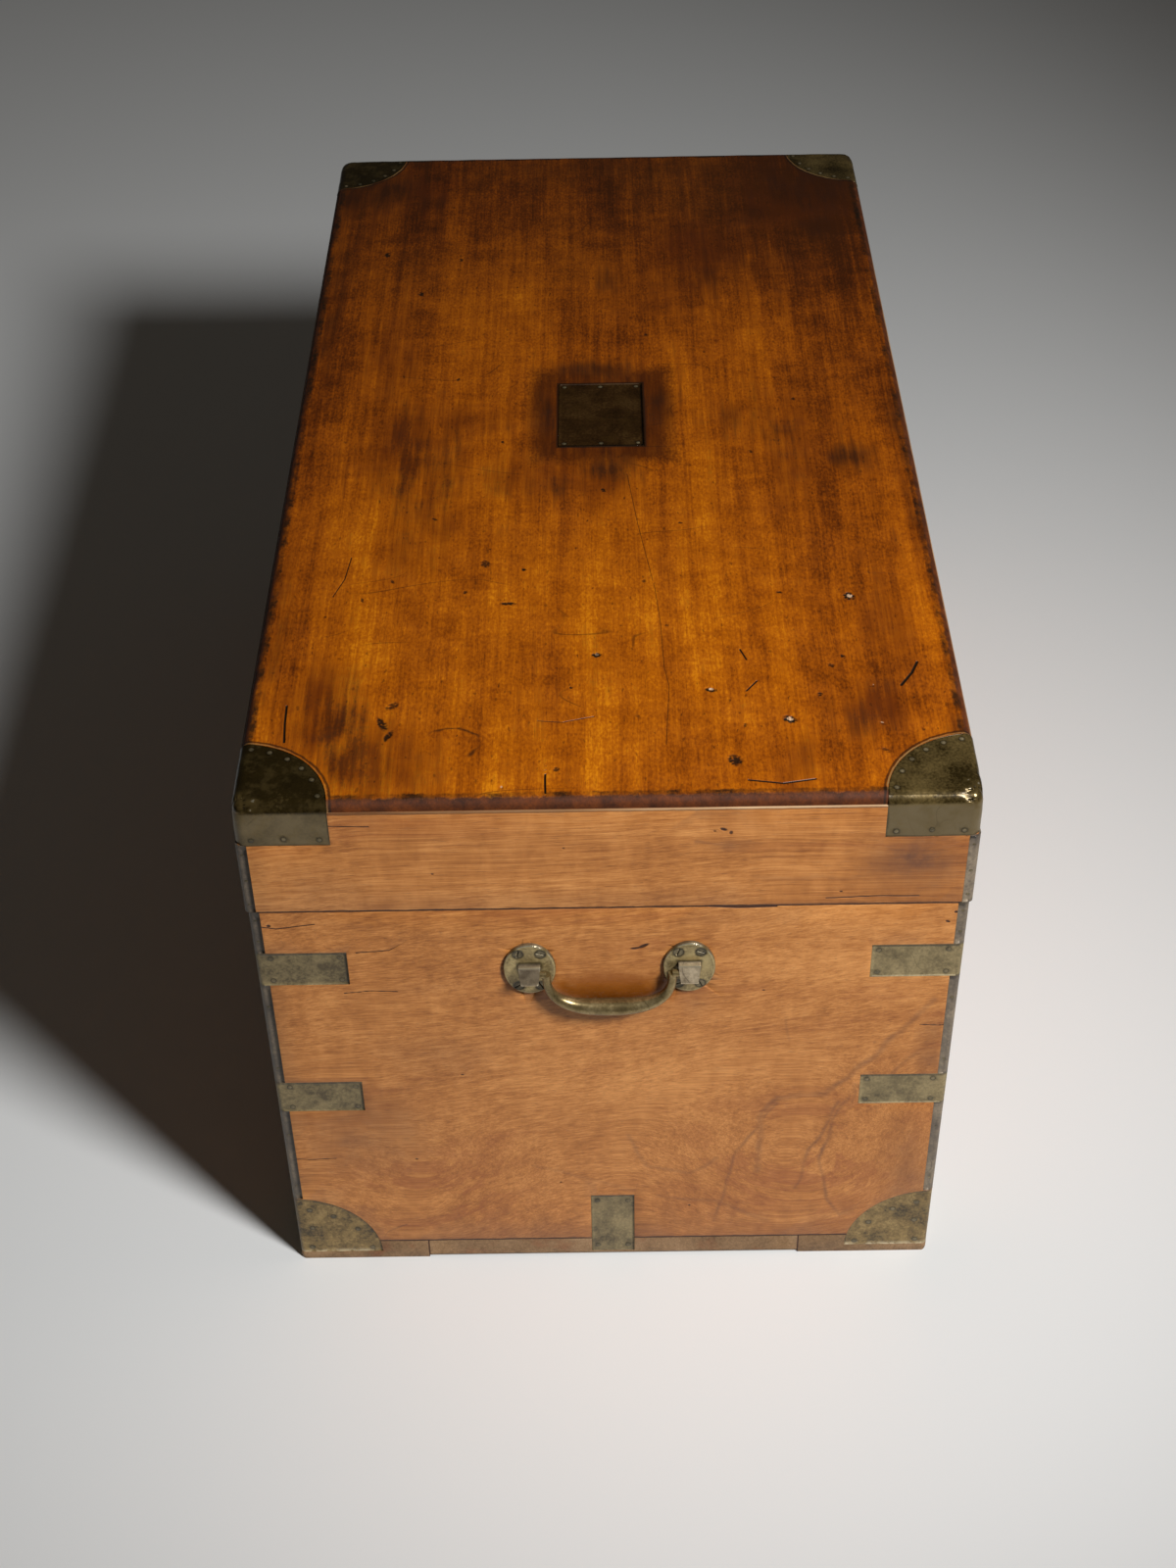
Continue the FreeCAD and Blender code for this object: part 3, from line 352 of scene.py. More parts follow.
def makeShellac(values):
    # old shellac on the lid's top: amber, streaked, stained, with painted shade that darkens it towards the far
    # end and the edges
    material, shader, place = newFinish("shellacTop", Coat_Roughness=0.20, Specular_IOR_Level=0.28)
    x, y, z = parts(place)
    sideways = magnitude(y)
    grain, fibre, pore, mottle, relief = useGroup(
        woodGrain, Vector=place, Waviness=0.012, Band=30.0, Fibre=560.0, Mottle=95.0, Curl=0.002)
    blotch = clouds(place, (5.0, 9.0, 9.0), 5.0, 0.6)
    cloud = clouds(place, 38.0, 5.0, 0.65)
    streak = clouds(place, (4.0, 46.0, 46.0), 6.0, 0.66)
    fine = clouds(stretch(place, (0.55, 1.0, 1.0)), 520.0, 3.0, 0.6)
    comb = clouds(place, (16.0, 190.0, 190.0), 4.0, 0.6)
    tone = total((grain, 0.24), (fibre, 0.36), (mottle, 0.10), (blotch, 0.28),
                 (cloud, 0.22), (streak, 0.32), (fine, 0.30), -0.24)
    # painted shade: darker towards the far end and the long edges. Also darker round one given place
    sideEdge = times(total(spread(sideways, 0.06, 0.20, 0.0, 0.13), spread(sideways, 0.19, 0.252, 0.0, 0.12)),
                     spread(x, -0.42, 0.0, 0.35, 1.0))
    tone = minus(tone, total(spread(x, -0.30, 0.10, 0.0, 0.15), spread(x, 0.20, 0.46, 0.0, 0.20), sideEdge,
                             (near(place, *values["darkPlace"]), 0.24)))

    wander = total((cloud, 0.30), (streak, 0.30), (comb, 0.55), (fine, 0.35), -0.75)
    red = spread(total(painted("redStain"), (wander, 0.9)), 0.20, 0.90)
    # painted shade: a blotchy darkening over the far half
    veil = times(spread(x, 0.12, 0.42), blotch)
    fromPlate = beyond(place, *values["plateHalf"])
    halo = spread(total(fromPlate, (wander, 0.020)), *values["haloReach"])
    halo = times(halo, total((comb, 0.35), (streak, 0.25), 0.52))
    stain = spread(total(painted("stain"), (wander, 0.9)), 0.22, 0.95)
    fleck = most(times(knocksOn(place, 0.45, 130.0, 0.17, 0.11, 0.004)["Mark"], 0.7),
                 times(knocksOn(place, 0.5, 290.0, 0.22, 0.27, 0.003)["Mark"], 0.45))
    big = knocksOn(place, 0.7, 34.0, 0.05, 0.06, 0.004)
    small = knocksOn(place, 1.0, 60.0, 0.05, 0.055, 0.003)
    knock = times(most(big["Mark"], small["Mark"]), spread(x, 0.35, -0.25, 0.45, 1.0))
    line = useGroup(hairlines, Vector=stretch(place, (1.0, 0.35, 1.0)), Scale=11.0, Width=0.0022)["Line"]
    soot = most(times(knock, 0.85), spread(painted("soot"), 0.15, 0.75))
    # bare wood in chipped dents, with a painted highlight in them
    bare = spread(painted("bare"), 0.3, 0.9)

    # rounded edge: a ragged dark line, then a dirty brown band with rubbed places
    ragged = spread(noiseOf(place, 160.0, 4.0, 0.65), 0.3, 0.7, -0.0012, 0.0012)
    outward = total(beyond(place, *values["flatHalf"]), ragged)
    band = spread(outward, *values["bandReach"])
    rimTone = total((fibre, 0.3), (clouds(place, 90.0, 5.0, 0.7, 0.3, 0.75), 0.7))
    darkening = times(clouds(place, 42.0, 5.0, 0.7, 0.36, 0.6), lineAt(outward, 0.0008, 0.0032))
    # filler round the corner brackets, dirt round them and the plate, bare wood below
    capX, capY = values["capCentre"]
    arc = vectorMaths("LENGTH", combined(X=minus(magnitude(x), capX), Y=minus(sideways, capY)))["Value"]
    arc = total(arc, (ragged, 0.35))
    filled = times(lineAt(arc, *values["fillerLine"]), clouds(place, 24.0, 3.0, 0.5, 0.44, 0.60))
    gap = most(lineAt(arc, *values["capGap"]), lineAt(fromPlate, *values["plateGap"]))
    under = spread(z, *values["underside"])
    innerTone = total((grain, 0.45), (fibre, 0.35), (blotch, 0.20))

    colour = layered(
        values, ramp(tone, values["tones"]), ("stain", pore, 0.22), ("redStain", red, 0.85),
        ("veil", veil, 0.55), ("halo", halo, 1.0), ("stain", stain, 0.85),
        ("stain", fleck, 1.0), ("stain", line, 0.5), ("soot", soot, 1.0),
        ("bare", bare, 0.9), (ramp(rimTone, values["rim"]), band, 1.0), ("soot", darkening, 0.9),
        ("filler", filled, 1.0), ("soot", gap, 0.75),
        (ramp(innerTone, camphorSet["inner"]), under, 1.0))
    height = minus(total((relief, 0.30), (cloud, 0.22), (big["Rim"], 0.12)),
                   total((soot, 0.9), (line, 0.4)))
    fillSockets(shader, {
        "Base Color": colour, "Normal": bumpOf(height, 0.55, 0.0005),
        "Roughness": total((cloud, 0.16), (band, 0.30), (stain, 0.10), (under, 0.20), 0.34),
        "Coat Weight": spread(total(band, soot, under, (cloud, 0.4)), 0.0, 1.0, 0.22, 0.0)})
    return material


camphorSet = {
    "tones": ((0.0, (0.155, 0.048, 0.010)), (0.3, (0.31, 0.105, 0.023)), (0.6, (0.48, 0.182, 0.043)),
              (1.0, (0.70, 0.305, 0.088))),
    "dark": (0.055, 0.020, 0.009, 1),
    "red": (0.30, 0.080, 0.026, 1),
    "grime": (0.135, 0.055, 0.030, 1),
    "polish": (0.290, 0.078, 0.0040, 1),
    # deep: colour of the painted shadow of the handle's bail
    "deep": (0.085, 0.022, 0.0012, 1),
    "filler": ((0.3, (0.06, 0.028, 0.014)), (0.55, (0.30, 0.18, 0.09)), (0.85, (0.62, 0.46, 0.28))),
    "inner": ((0.0, (0.27, 0.130, 0.055)), (0.5, (0.45, 0.250, 0.115)), (1.0, (0.62, 0.39, 0.205))),
    # levels and half widths: seam below the lid, joint above the feet, filler and shadow below the top
    "seam": (0.38415, 0.0010), "footJoint": (0.0210, 0.0011),
    "fillerLine": (0.4738, 0.0009), "topShadow": (0.4727, 0.0008),
    "skinHalf": (0.485, 0.250), "skinReach": (-0.0022, -0.0008), "deepReach": (0.313, 0.297),
}
plinthSet = {
    **camphorSet,
    "tones": ((0.0, (0.085, 0.045, 0.019)), (0.3, (0.19, 0.105, 0.045)), (0.6, (0.285, 0.165, 0.078)),
              (1.0, (0.42, 0.26, 0.135))),
    "grime": (0.075, 0.045, 0.028, 1),
}


def makeCamphor(name, values, alongY=False, shift=(0, 0, 0), level=0.0, roughness=0.50, swirls=(),
                slope=0.0, lean=0.0, grime=None, joint=None, polish=None):
    # rubbed camphor wood with its grain along X or along Y, bare inside the chest
    material, shader, place = newFinish(name, Roughness=roughness, Specular_IOR_Level=0.35)
    turned = addNode("Mapping", {"Vector": place, "Location": shift,
                                 "Rotation": (0, 0, math.radians(-90) if alongY else 0)}).outputs[0]
    x, y, z = parts(place)
    across = y if alongY else x
    # the grain rises along the board and bends round the swirls
    offset, swirled = times(across, slope), times(across, 0.0)
    for centre, reach, height in swirls:
        hill = near(place, centre, 0.0, reach)
        offset = total(offset, (hill, height))
        swirled = most(hill, swirled)
    grain, fibre, pore, mottle, relief = useGroup(
        woodGrain, Vector=turned, Waviness=0.05, Band=30.0, Fibre=1000.0, Mottle=75.0,
        Curl=total((swirled, 0.030), 0.010), Offset=offset)
    blotch = clouds(turned, (3.5, 7.0, 7.0), 4.0)
    cloud = clouds(turned, 60.0, 5.0, 0.65)
    tone = total((grain, 0.22), (fibre, 0.78), (mottle, 0.16), (blotch, 0.34),
                 (cloud, 0.16), (across, lean), level - 0.23)
    small = knocksOn(place, 1.0, 30.0, 0.07, 0.03, 0.002)["Mark"]
    stain = times(painted("stain"), total(cloud, 0.5))
    vein = times(lineAt(grain, 0.42, 0.10), swirled)
    layers = [("red", spread(grain, 0.35, 0.0), 0.35), ("red", vein, 0.45),
              ("dark", pore, 0.30), ("dark", small, 0.8), ("grime", stain, 0.85)]
    if polish:
        centre, halfY, halfZ = polish
        spot = stretch(shifted(place, tuple(-part for part in centre)), (0, 1 / halfY, 1 / halfZ))
        away = total(vectorMaths("LENGTH", spot)["Value"], (cloud, 0.35))
        rubbed = spread(away, 1.45, 0.70, smooth=True)
        # painted shadow of the bail: the patch is darkest at its bottom, just above the bail
        low = spread(total(z, (cloud, 0.006)), *values["deepReach"])
        layers += [("polish", rubbed, 0.85), ("deep", times(low, rubbed), 0.8)]
        fillSockets(shader, {"Roughness": spread(rubbed, 0.0, 1.0, roughness, 0.28)})
    # darker towards the bottom
    if grime:
        layers.append(("grime", spread(total(z, (cloud, 0.03)), *grime), 0.55))
    # dirt in the seams and joints and a painted shadow under the lid's top, on the outside only, and old filler
    # under the lid's top
    wavy = total(z, (minus(cloud, 0.5), 0.0006))
    layers.append((ramp(grain, values["filler"]), lineAt(wavy, *values["fillerLine"]), 0.8))
    line = most(lineAt(wavy, *values["seam"]), lineAt(wavy, *values["footJoint"]))
    if joint:
        line = most(line, lineAt(magnitude(y), *joint))
    # painted shadow just below the lid's top
    line = most(line, times(lineAt(wavy, *values["topShadow"]), fibre))
    line = times(line, spread(beyond(place, *values["skinHalf"]), *values["skinReach"]))
    soot = most(spread(painted("soot"), 0.15, 0.75), line)
    innerTone = total((grain, 0.4), (fibre, 0.35), (blotch, 0.25))
    inside = useGroup(insideFaces, Vector=place)["Inside"]
    layers += [("dark", soot, 1.0), (ramp(innerTone, values["inner"]), inside, 1.0)]
    height = minus(times(relief, 0.5), total(small, soot))
    fillSockets(shader, {"Base Color": layered(values, ramp(tone, values["tones"]), *layers),
                         "Normal": bumpOf(height, 0.55, 0.0004)})
    return material


brassMixSet = {
    # glint: colour of a painted highlight
    "glint": (0.60, 0.52, 0.36, 1), "dust": (0.50, 0.40, 0.24, 1),
    "skirtDark": (0.135, 0.104, 0.060, 1), "skirtLight": (0.185, 0.148, 0.094, 1),
    "skirtReach": (0.4755, 0.4725), "deepShare": 0.28,
}


def makeBrass(name, dark, middle, light, roughness, metallic, cloud=35.0, bump=0.25, dust=None,
              uneven=1.0, lean=-0.5, skirt=None, specular=0.5, scratched=0.6):
    # tarnished brass; the sheet pieces also carry painted edges, grime and painted shade, rubbed places and
    # painted highlights
    values = brassMixSet
    material, shader, place = newFinish(name, Specular_IOR_Level=specular)
    y, z = parts(place)[1:]
    tarnish = useGroup(brassTarnish, Vector=place, Cloud=cloud)
    worn = painted("worn")
    # painted shade: by lean the tone grows darker or lighter along y, so one side is darker
    tone = total((tarnish["Cloud"], 0.65 * uneven), (tarnish["Speck"], 0.35 * uneven), (y, lean),
                 0.5 - 0.5 * uneven)
    layers = []
    if skirt:
        low = spread(z, *values["skirtReach"])
        tone = total(tone, (low, skirt))
        grey = layered(values, values["skirtDark"], ("skirtLight", tarnish["Cloud"], 1.0))
        layers.append((grey, low, 0.6))
    scratch = useGroup(hairlines, Vector=place, Scale=24.0, Width=0.006)["Line"]
    rubbed = total((tarnish["Rubbed"], 0.55 * uneven), (worn, 0.8))
    # dirt and painted shade: darker along the painted edges, where grime and shade are painted, and in the
    # cloud's dark parts
    darkening = total((painted("edge"), 0.55), (painted("grime"), 0.8), (minus(tarnish["Cloud"], 0.5), 0.4))
    deep = tuple(values["deepShare"] * part for part in dark)
    # rubbed places are lighter; where the worn and glint mark is high, a pale colour is a painted highlight
    layers += [((*dark, 1), scratch, scratched), ((*light, 1), spread(rubbed, 0.0, 1.0), 1.0),
               ("glint", spread(worn, 0.7, 0.95), 1.0), ((*deep, 1), spread(darkening, 0.1, 0.8), 0.8)]
    metal = spread(rubbed, 0.0, 1.0, *metallic)
    if dust:
        settled = times(spread(z, *dust), clouds(place, 140.0, 4.0, 0.7, 0.42, 0.58))
        layers.append(("dust", settled, 0.85))
        metal = minus(metal, settled)
    fillSockets(shader, {
        "Base Color": layered(values, ramp(tone, ((0.1, dark), (0.5, middle), (0.9, light))), *layers),
        "Metallic": metal, "Normal": bumpOf(tarnish["Height"], bump, 0.0008),
        "Roughness": spread(total(tone, (worn, -0.6)), 0.1, 0.9, *roughness)})
    return material


# dark, middle and light colour, roughness and metallic from dark to light, and what differs
brassSet = {
    "lid_brass": ((0.014, 0.0088, 0.0022), (0.027, 0.0170, 0.0040), (0.180, 0.122, 0.041),
                  (0.20, 0.36), (0.40, 0.85), {"bump": 0.45, "uneven": 0.55, "lean": -0.7, "skirt": 0.46,
                                               "specular": 0.3, "scratched": 0.2}),
    "edging_brass": ((0.080, 0.062, 0.046), (0.150, 0.116, 0.082), (0.27, 0.21, 0.14),
                     (0.42, 0.6), (0.15, 0.55), {"bump": 0.2}),
    "strap_brass": ((0.074, 0.052, 0.022), (0.185, 0.138, 0.062), (0.33, 0.25, 0.12),
                    (0.45, 0.62), (0.1, 0.4), {"dust": (0.0065, 0.0035), "lean": -0.65}),
    "foot_brass": ((0.042, 0.028, 0.010), (0.195, 0.124, 0.041), (0.38, 0.262, 0.105),
                   (0.42, 0.62), (0.2, 0.65), {"cloud": 55.0, "lean": -0.05, "dust": (0.0125, 0.0085)}),
    "plate_brass": ((0.014, 0.0056, 0.0009), (0.029, 0.0120, 0.0020), (0.060, 0.029, 0.006),
                    (0.40, 0.6), (0.2, 0.6), {"bump": 0.15, "specular": 0.2}),
    "handle_brass": ((0.085, 0.060, 0.024), (0.22, 0.158, 0.066), (0.52, 0.40, 0.20),
                     (0.24, 0.38), (0.70, 1.0), {"cloud": 60.0, "bump": 0.10, "uneven": 0.5}),
    "rose_brass": ((0.100, 0.074, 0.030), (0.28, 0.205, 0.088), (0.58, 0.45, 0.21),
                   (0.28, 0.45), (0.35, 0.8), {"cloud": 70.0, "bump": 0.12, "uneven": 0.75, "lean": 0.3}),
    "eye_brass": ((0.080, 0.058, 0.038), (0.190, 0.142, 0.086), (0.55, 0.44, 0.29),
                  (0.28, 0.45), (0.35, 0.8), {"cloud": 90.0, "bump": 0.12, "uneven": 0.5, "lean": -3.6}),
    "hinge_brass": ((0.12, 0.095, 0.05), (0.26, 0.21, 0.12), (0.42, 0.34, 0.2), (0.3, 0.5), (0.6, 0.95), {}),
    "lock_brass": ((0.14, 0.11, 0.055), (0.30, 0.24, 0.13), (0.46, 0.37, 0.2), (0.3, 0.5), (0.6, 0.95), {}),
    "pin_brass": ((0.05, 0.04, 0.02), (0.13, 0.10, 0.052), (0.28, 0.22, 0.12), (0.35, 0.5), (0.3, 0.7), {}),
    "screw_brass": ((0.05, 0.04, 0.022), (0.12, 0.098, 0.055), (0.26, 0.21, 0.125),
                    (0.35, 0.5), (0.4, 0.85), {}),
}
finishes = {slot: makeBrass(slot.replace("_brass", "Brass"), *values, **more)
            for slot, (*values, more) in brassSet.items()}
finishes["lid_top_wood"] = makeShellac(shellacSet)

woodSet = {
    "left_end_board": {"name": "endCamphor", "alongY": True, "slope": 0.14, "lean": 0.05, "grime": (0.08, 0.0),
                       "polish": ((-0.485, 0.0, 0.303), 0.047, 0.019),
                       "swirls": (((-0.485, -0.150, 0.105), 0.15, 0.085),
                                  ((-0.485, 0.135, 0.075), 0.11, 0.035))},
    "right_end_board": {"name": "farEndCamphor", "alongY": True, "shift": (0.0, 0.0, 0.6), "slope": -0.10,
                        "grime": (0.08, 0.0), "swirls": (((0.485, 0.10, 0.22), 0.14, 0.07),)},
    "lid_left_rail": {"name": "endSkirtCamphor", "alongY": True, "shift": (0.37, 0.0, 0.21), "slope": 0.04,
                      "lean": 0.75, "level": -0.03},
    "front_board": {"name": "longCamphor", "shift": (0.1, 0.0, 0.4), "slope": 0.03, "grime": (0.08, 0.0),
                    "swirls": (((0.22, -0.25, 0.2), 0.16, 0.06), ((-0.20, 0.25, 0.12), 0.13, 0.05))},
    "lid_front_rail": {"name": "longSkirtCamphor", "shift": (0.5, 0.0, 0.9), "level": -0.03},
    "bottom_board": {"name": "baseCamphor", "values": plinthSet, "shift": (0.7, 0.2, 0.1), "level": -0.10,
                     "roughness": 0.62, "grime": (0.02, 0.0), "joint": (0.147, 0.0008)},
}
boardFinish = {name: makeCamphor(**{"values": camphorSet, **values}) for name, values in woodSet.items()}
for name, like in (("lid_right_rail", "lid_left_rail"), ("back_board", "front_board"),
                   ("lid_back_rail", "lid_front_rail"), ("front_runner", "bottom_board"),
                   ("back_runner", "bottom_board")):
    boardFinish[name] = boardFinish[like]
slotOf = {name: node.material_slots[0].material.name for name, node in nodes.items()}
for name, node in nodes.items():
    node.material_slots[0].material = boardFinish.get(name) or finishes[slotOf[name]]
print("finishes ready")


def newPiece(name, build, body, finish, replaced=(), sharp=35.0):
    bmesh.ops.scale(build, vec=(metre,) * 3, verts=build.verts)
    mesh = bpy.data.meshes.new(name)
    build.to_mesh(mesh)
    build.free()
    mesh.materials.append(finish)
    mesh.shade_smooth()
    mesh.set_sharp_from_angle(angle=math.radians(sharp))
    piece = addObject(name, mesh)
    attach(piece, body)
    if replaced:
        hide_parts(*replaced)
    return mesh


def replaceNode(name, ending, build, finish, sharp=35.0):
    body = "lid" if name.startswith("lid_") or name == "name_plate" else "chest"
    return newPiece(name + ending, build, body, finish, (name,), sharp)


def merged(name):
    # a CAD node as one clean shell, in millimetres
    build = bmesh.new()
    build.from_mesh(nodes[name].data)
    bmesh.ops.scale(build, vec=(1 / metre,) * 3, verts=build.verts)
    bmesh.ops.remove_doubles(build, verts=build.verts, dist=0.004)
    bmesh.ops.dissolve_limit(build, angle_limit=math.radians(0.6), verts=build.verts, edges=build.edges)
    return build


def easeEdges(build, width, shortest=1.2):
    edges = [edge for edge in build.edges if edge.is_manifold and edge.is_convex
             and edge.calc_face_angle(0.0) > math.radians(35) and edge.calc_length() > shortest]
    bmesh.ops.bevel(build, geom=edges, offset=width, offset_type="OFFSET", affect="EDGES",
                    segments=2, profile=0.5, material=-1, clamp_overlap=True)


def edgesOf(faces):
    return list({edge for face in faces for edge in face.edges})


def cutAcross(build, faces, point, normal):
    verts = list({vert for face in faces for vert in face.verts})
    bmesh.ops.bisect_plane(build, geom=faces + edgesOf(faces) + verts, dist=0.01, plane_co=point,
                           plane_no=normal)


def gridCut(build, step, axes=(0, 1, 2)):
    # straight cuts across the whole shape, about a step apart
    for axis in axes:
        spots = [vert.co[axis] for vert in build.verts]
        low, high = min(spots), max(spots)
        count = max(1, round((high - low) / step))
        normal = Vector((axis == 0, axis == 1, axis == 2))
        for index in range(1, count):
            cutAcross(build, build.faces[:], normal * (low + (high - low) * index / count), normal)


def refine(build, test, cuts):
    # smaller cells where a test on the middles of the faces passes
    bmesh.ops.subdivide_edges(build, edges=edgesOf(facesWhere(build, test)), cuts=cuts, use_grid_fill=True)


def facesWhere(build, test):
    faces = build.faces[:]
    middles = np.array([face.calc_center_median()[:] for face in faces])
    return [face for face, take in zip(faces, test(middles)) if take]


def drawOut(build, border):
    # extrude a border; the new verts and the new border
    made = bmesh.ops.extrude_edge_only(build, edges=border)["geom"]
    return ([item for item in made if isinstance(item, bmesh.types.BMVert)],
            [item for item in made if isinstance(item, bmesh.types.BMEdge) and item.is_boundary])


def sinkFaces(build, faces, depth=(0, 0, 0)):
    made = bmesh.ops.extrude_face_region(build, geom=faces)["geom"]
    bmesh.ops.delete(build, geom=[face for face in faces if face.is_valid], context="FACES")
    verts = [item for item in made if isinstance(item, bmesh.types.BMVert)]
    bmesh.ops.translate(build, verts=verts, vec=depth)
    return verts


def wornCopy(name, finish, ease, step, axes=(0, 1, 2)):
    build = merged(name)
    if ease:
        easeEdges(build, ease)
    gridCut(build, step, axes)
    mesh = replaceNode(name, "_worn", build, finishes[finish])
    return mesh, meshArrays(mesh)[0]


def meshArrays(mesh):
    result = []
    for field in ("co", "normal"):
        flat = np.empty(len(mesh.vertices) * 3, np.float32)
        mesh.vertices.foreach_get(field, flat)
        result.append(flat.reshape(-1, 3).astype(float))
    return result[0] / metre, result[1]


def setPlaces(mesh, places):
    mesh.vertices.foreach_set("co", (places * metre).astype(np.float32).ravel())
    mesh.update()


def paint(mesh, **layers):
    for name, amounts in layers.items():
        layer = mesh.attributes.new(name, "FLOAT", "POINT")
        layer.data.foreach_set("value", np.clip(amounts, 0.0, 1.0).astype(np.float32))


def lumps(places, size, seed=0.0):
    # smooth noise of about -1 to 1 at each place, with features of the given size in mm
    lift = Vector((seed, 2.3 * seed, -seed))
    return np.array([noise.noise(Vector(place) / size + lift) for place in places.tolist()])


def fade(ratio):
    # 1 at 0, smoothly 0 at 1
    amount = np.clip(1.0 - ratio, 0.0, 1.0)
    return amount * amount * (3.0 - 2.0 * amount)


def blob(flat, centre, radii, turn=0.0):
    # how deep each place lies in a turned ellipse
    across, along = (flat - centre).T
    c, s = math.cos(math.radians(turn)), math.sin(math.radians(turn))
    return fade(np.hypot((across * c + along * s) / radii[0], (along * c - across * s) / radii[1]))


def strokeDistance(flat, points):
    # distance to a line through the points
    best = np.full(len(flat), 1e9)
    for start, end in zip(np.array(points[:-1], float), np.array(points[1:], float)):
        run = end - start
        amount = np.clip((flat - start) @ run / (run @ run), 0, 1)
        best = np.minimum(best, np.linalg.norm(flat - start - amount[:, None] * run, axis=1))
    return best


def besideMarks(flat, marks, margin):
    spots = np.array([mark[:4] for mark in marks])
    away = np.linalg.norm(flat[:, None] - spots[None, :, :2], axis=2)
    return (away < spots[None, :, 2:].max(axis=2) + margin).any(axis=1)


def besideLines(flat, lines, margin):
    return np.any([strokeDistance(flat, points) < width + margin for points, width, amount in lines], axis=0)


hollowSet = {"markSpread": 1.2, "crackSpread": 2.0, "crackGain": 1.7, "chips": 1.9}


def hollowsOn(places, flat, marks, cracks, gains, ragged=0.0):
    # how deep dents and cracks go at each place, and how sooty they are
    values = hollowSet
    sink, soot = np.zeros(len(flat)), np.zeros(len(flat))
    markSoot, markGain, crackSoot = gains
    for mark in marks:
        first, second, along, across, turn, depth, dark = mark[:7]
        amount = blob(flat, (first, second), np.array((along, across)) * values["markSpread"], turn)
        if ragged:
            hit = np.nonzero(amount)[0]
            uneven = 1.0 + ragged * lumps(places[hit], values["chips"], first)
            amount[hit] = np.clip(amount[hit] * uneven, 0, 1)
        sink += depth * amount
        soot = np.maximum(soot, markSoot * dark * np.clip(amount * markGain, 0, 1))
    for points, width, depth in cracks:
        amount = fade(strokeDistance(flat, points) / (width * values["crackSpread"]))
        sink += depth * amount
        soot = np.maximum(soot, min(1.0, crackSoot + depth) * np.clip(amount * values["crackGain"], 0, 1))
    return sink, soot


def stainsOn(flat, stains, uneven):
    result = np.zeros(len(flat))
    for *centre, firstHalf, secondHalf, strength in stains:
        result = np.maximum(result, strength * uneven * blob(flat, centre, (firstHalf, secondHalf)))
    return result


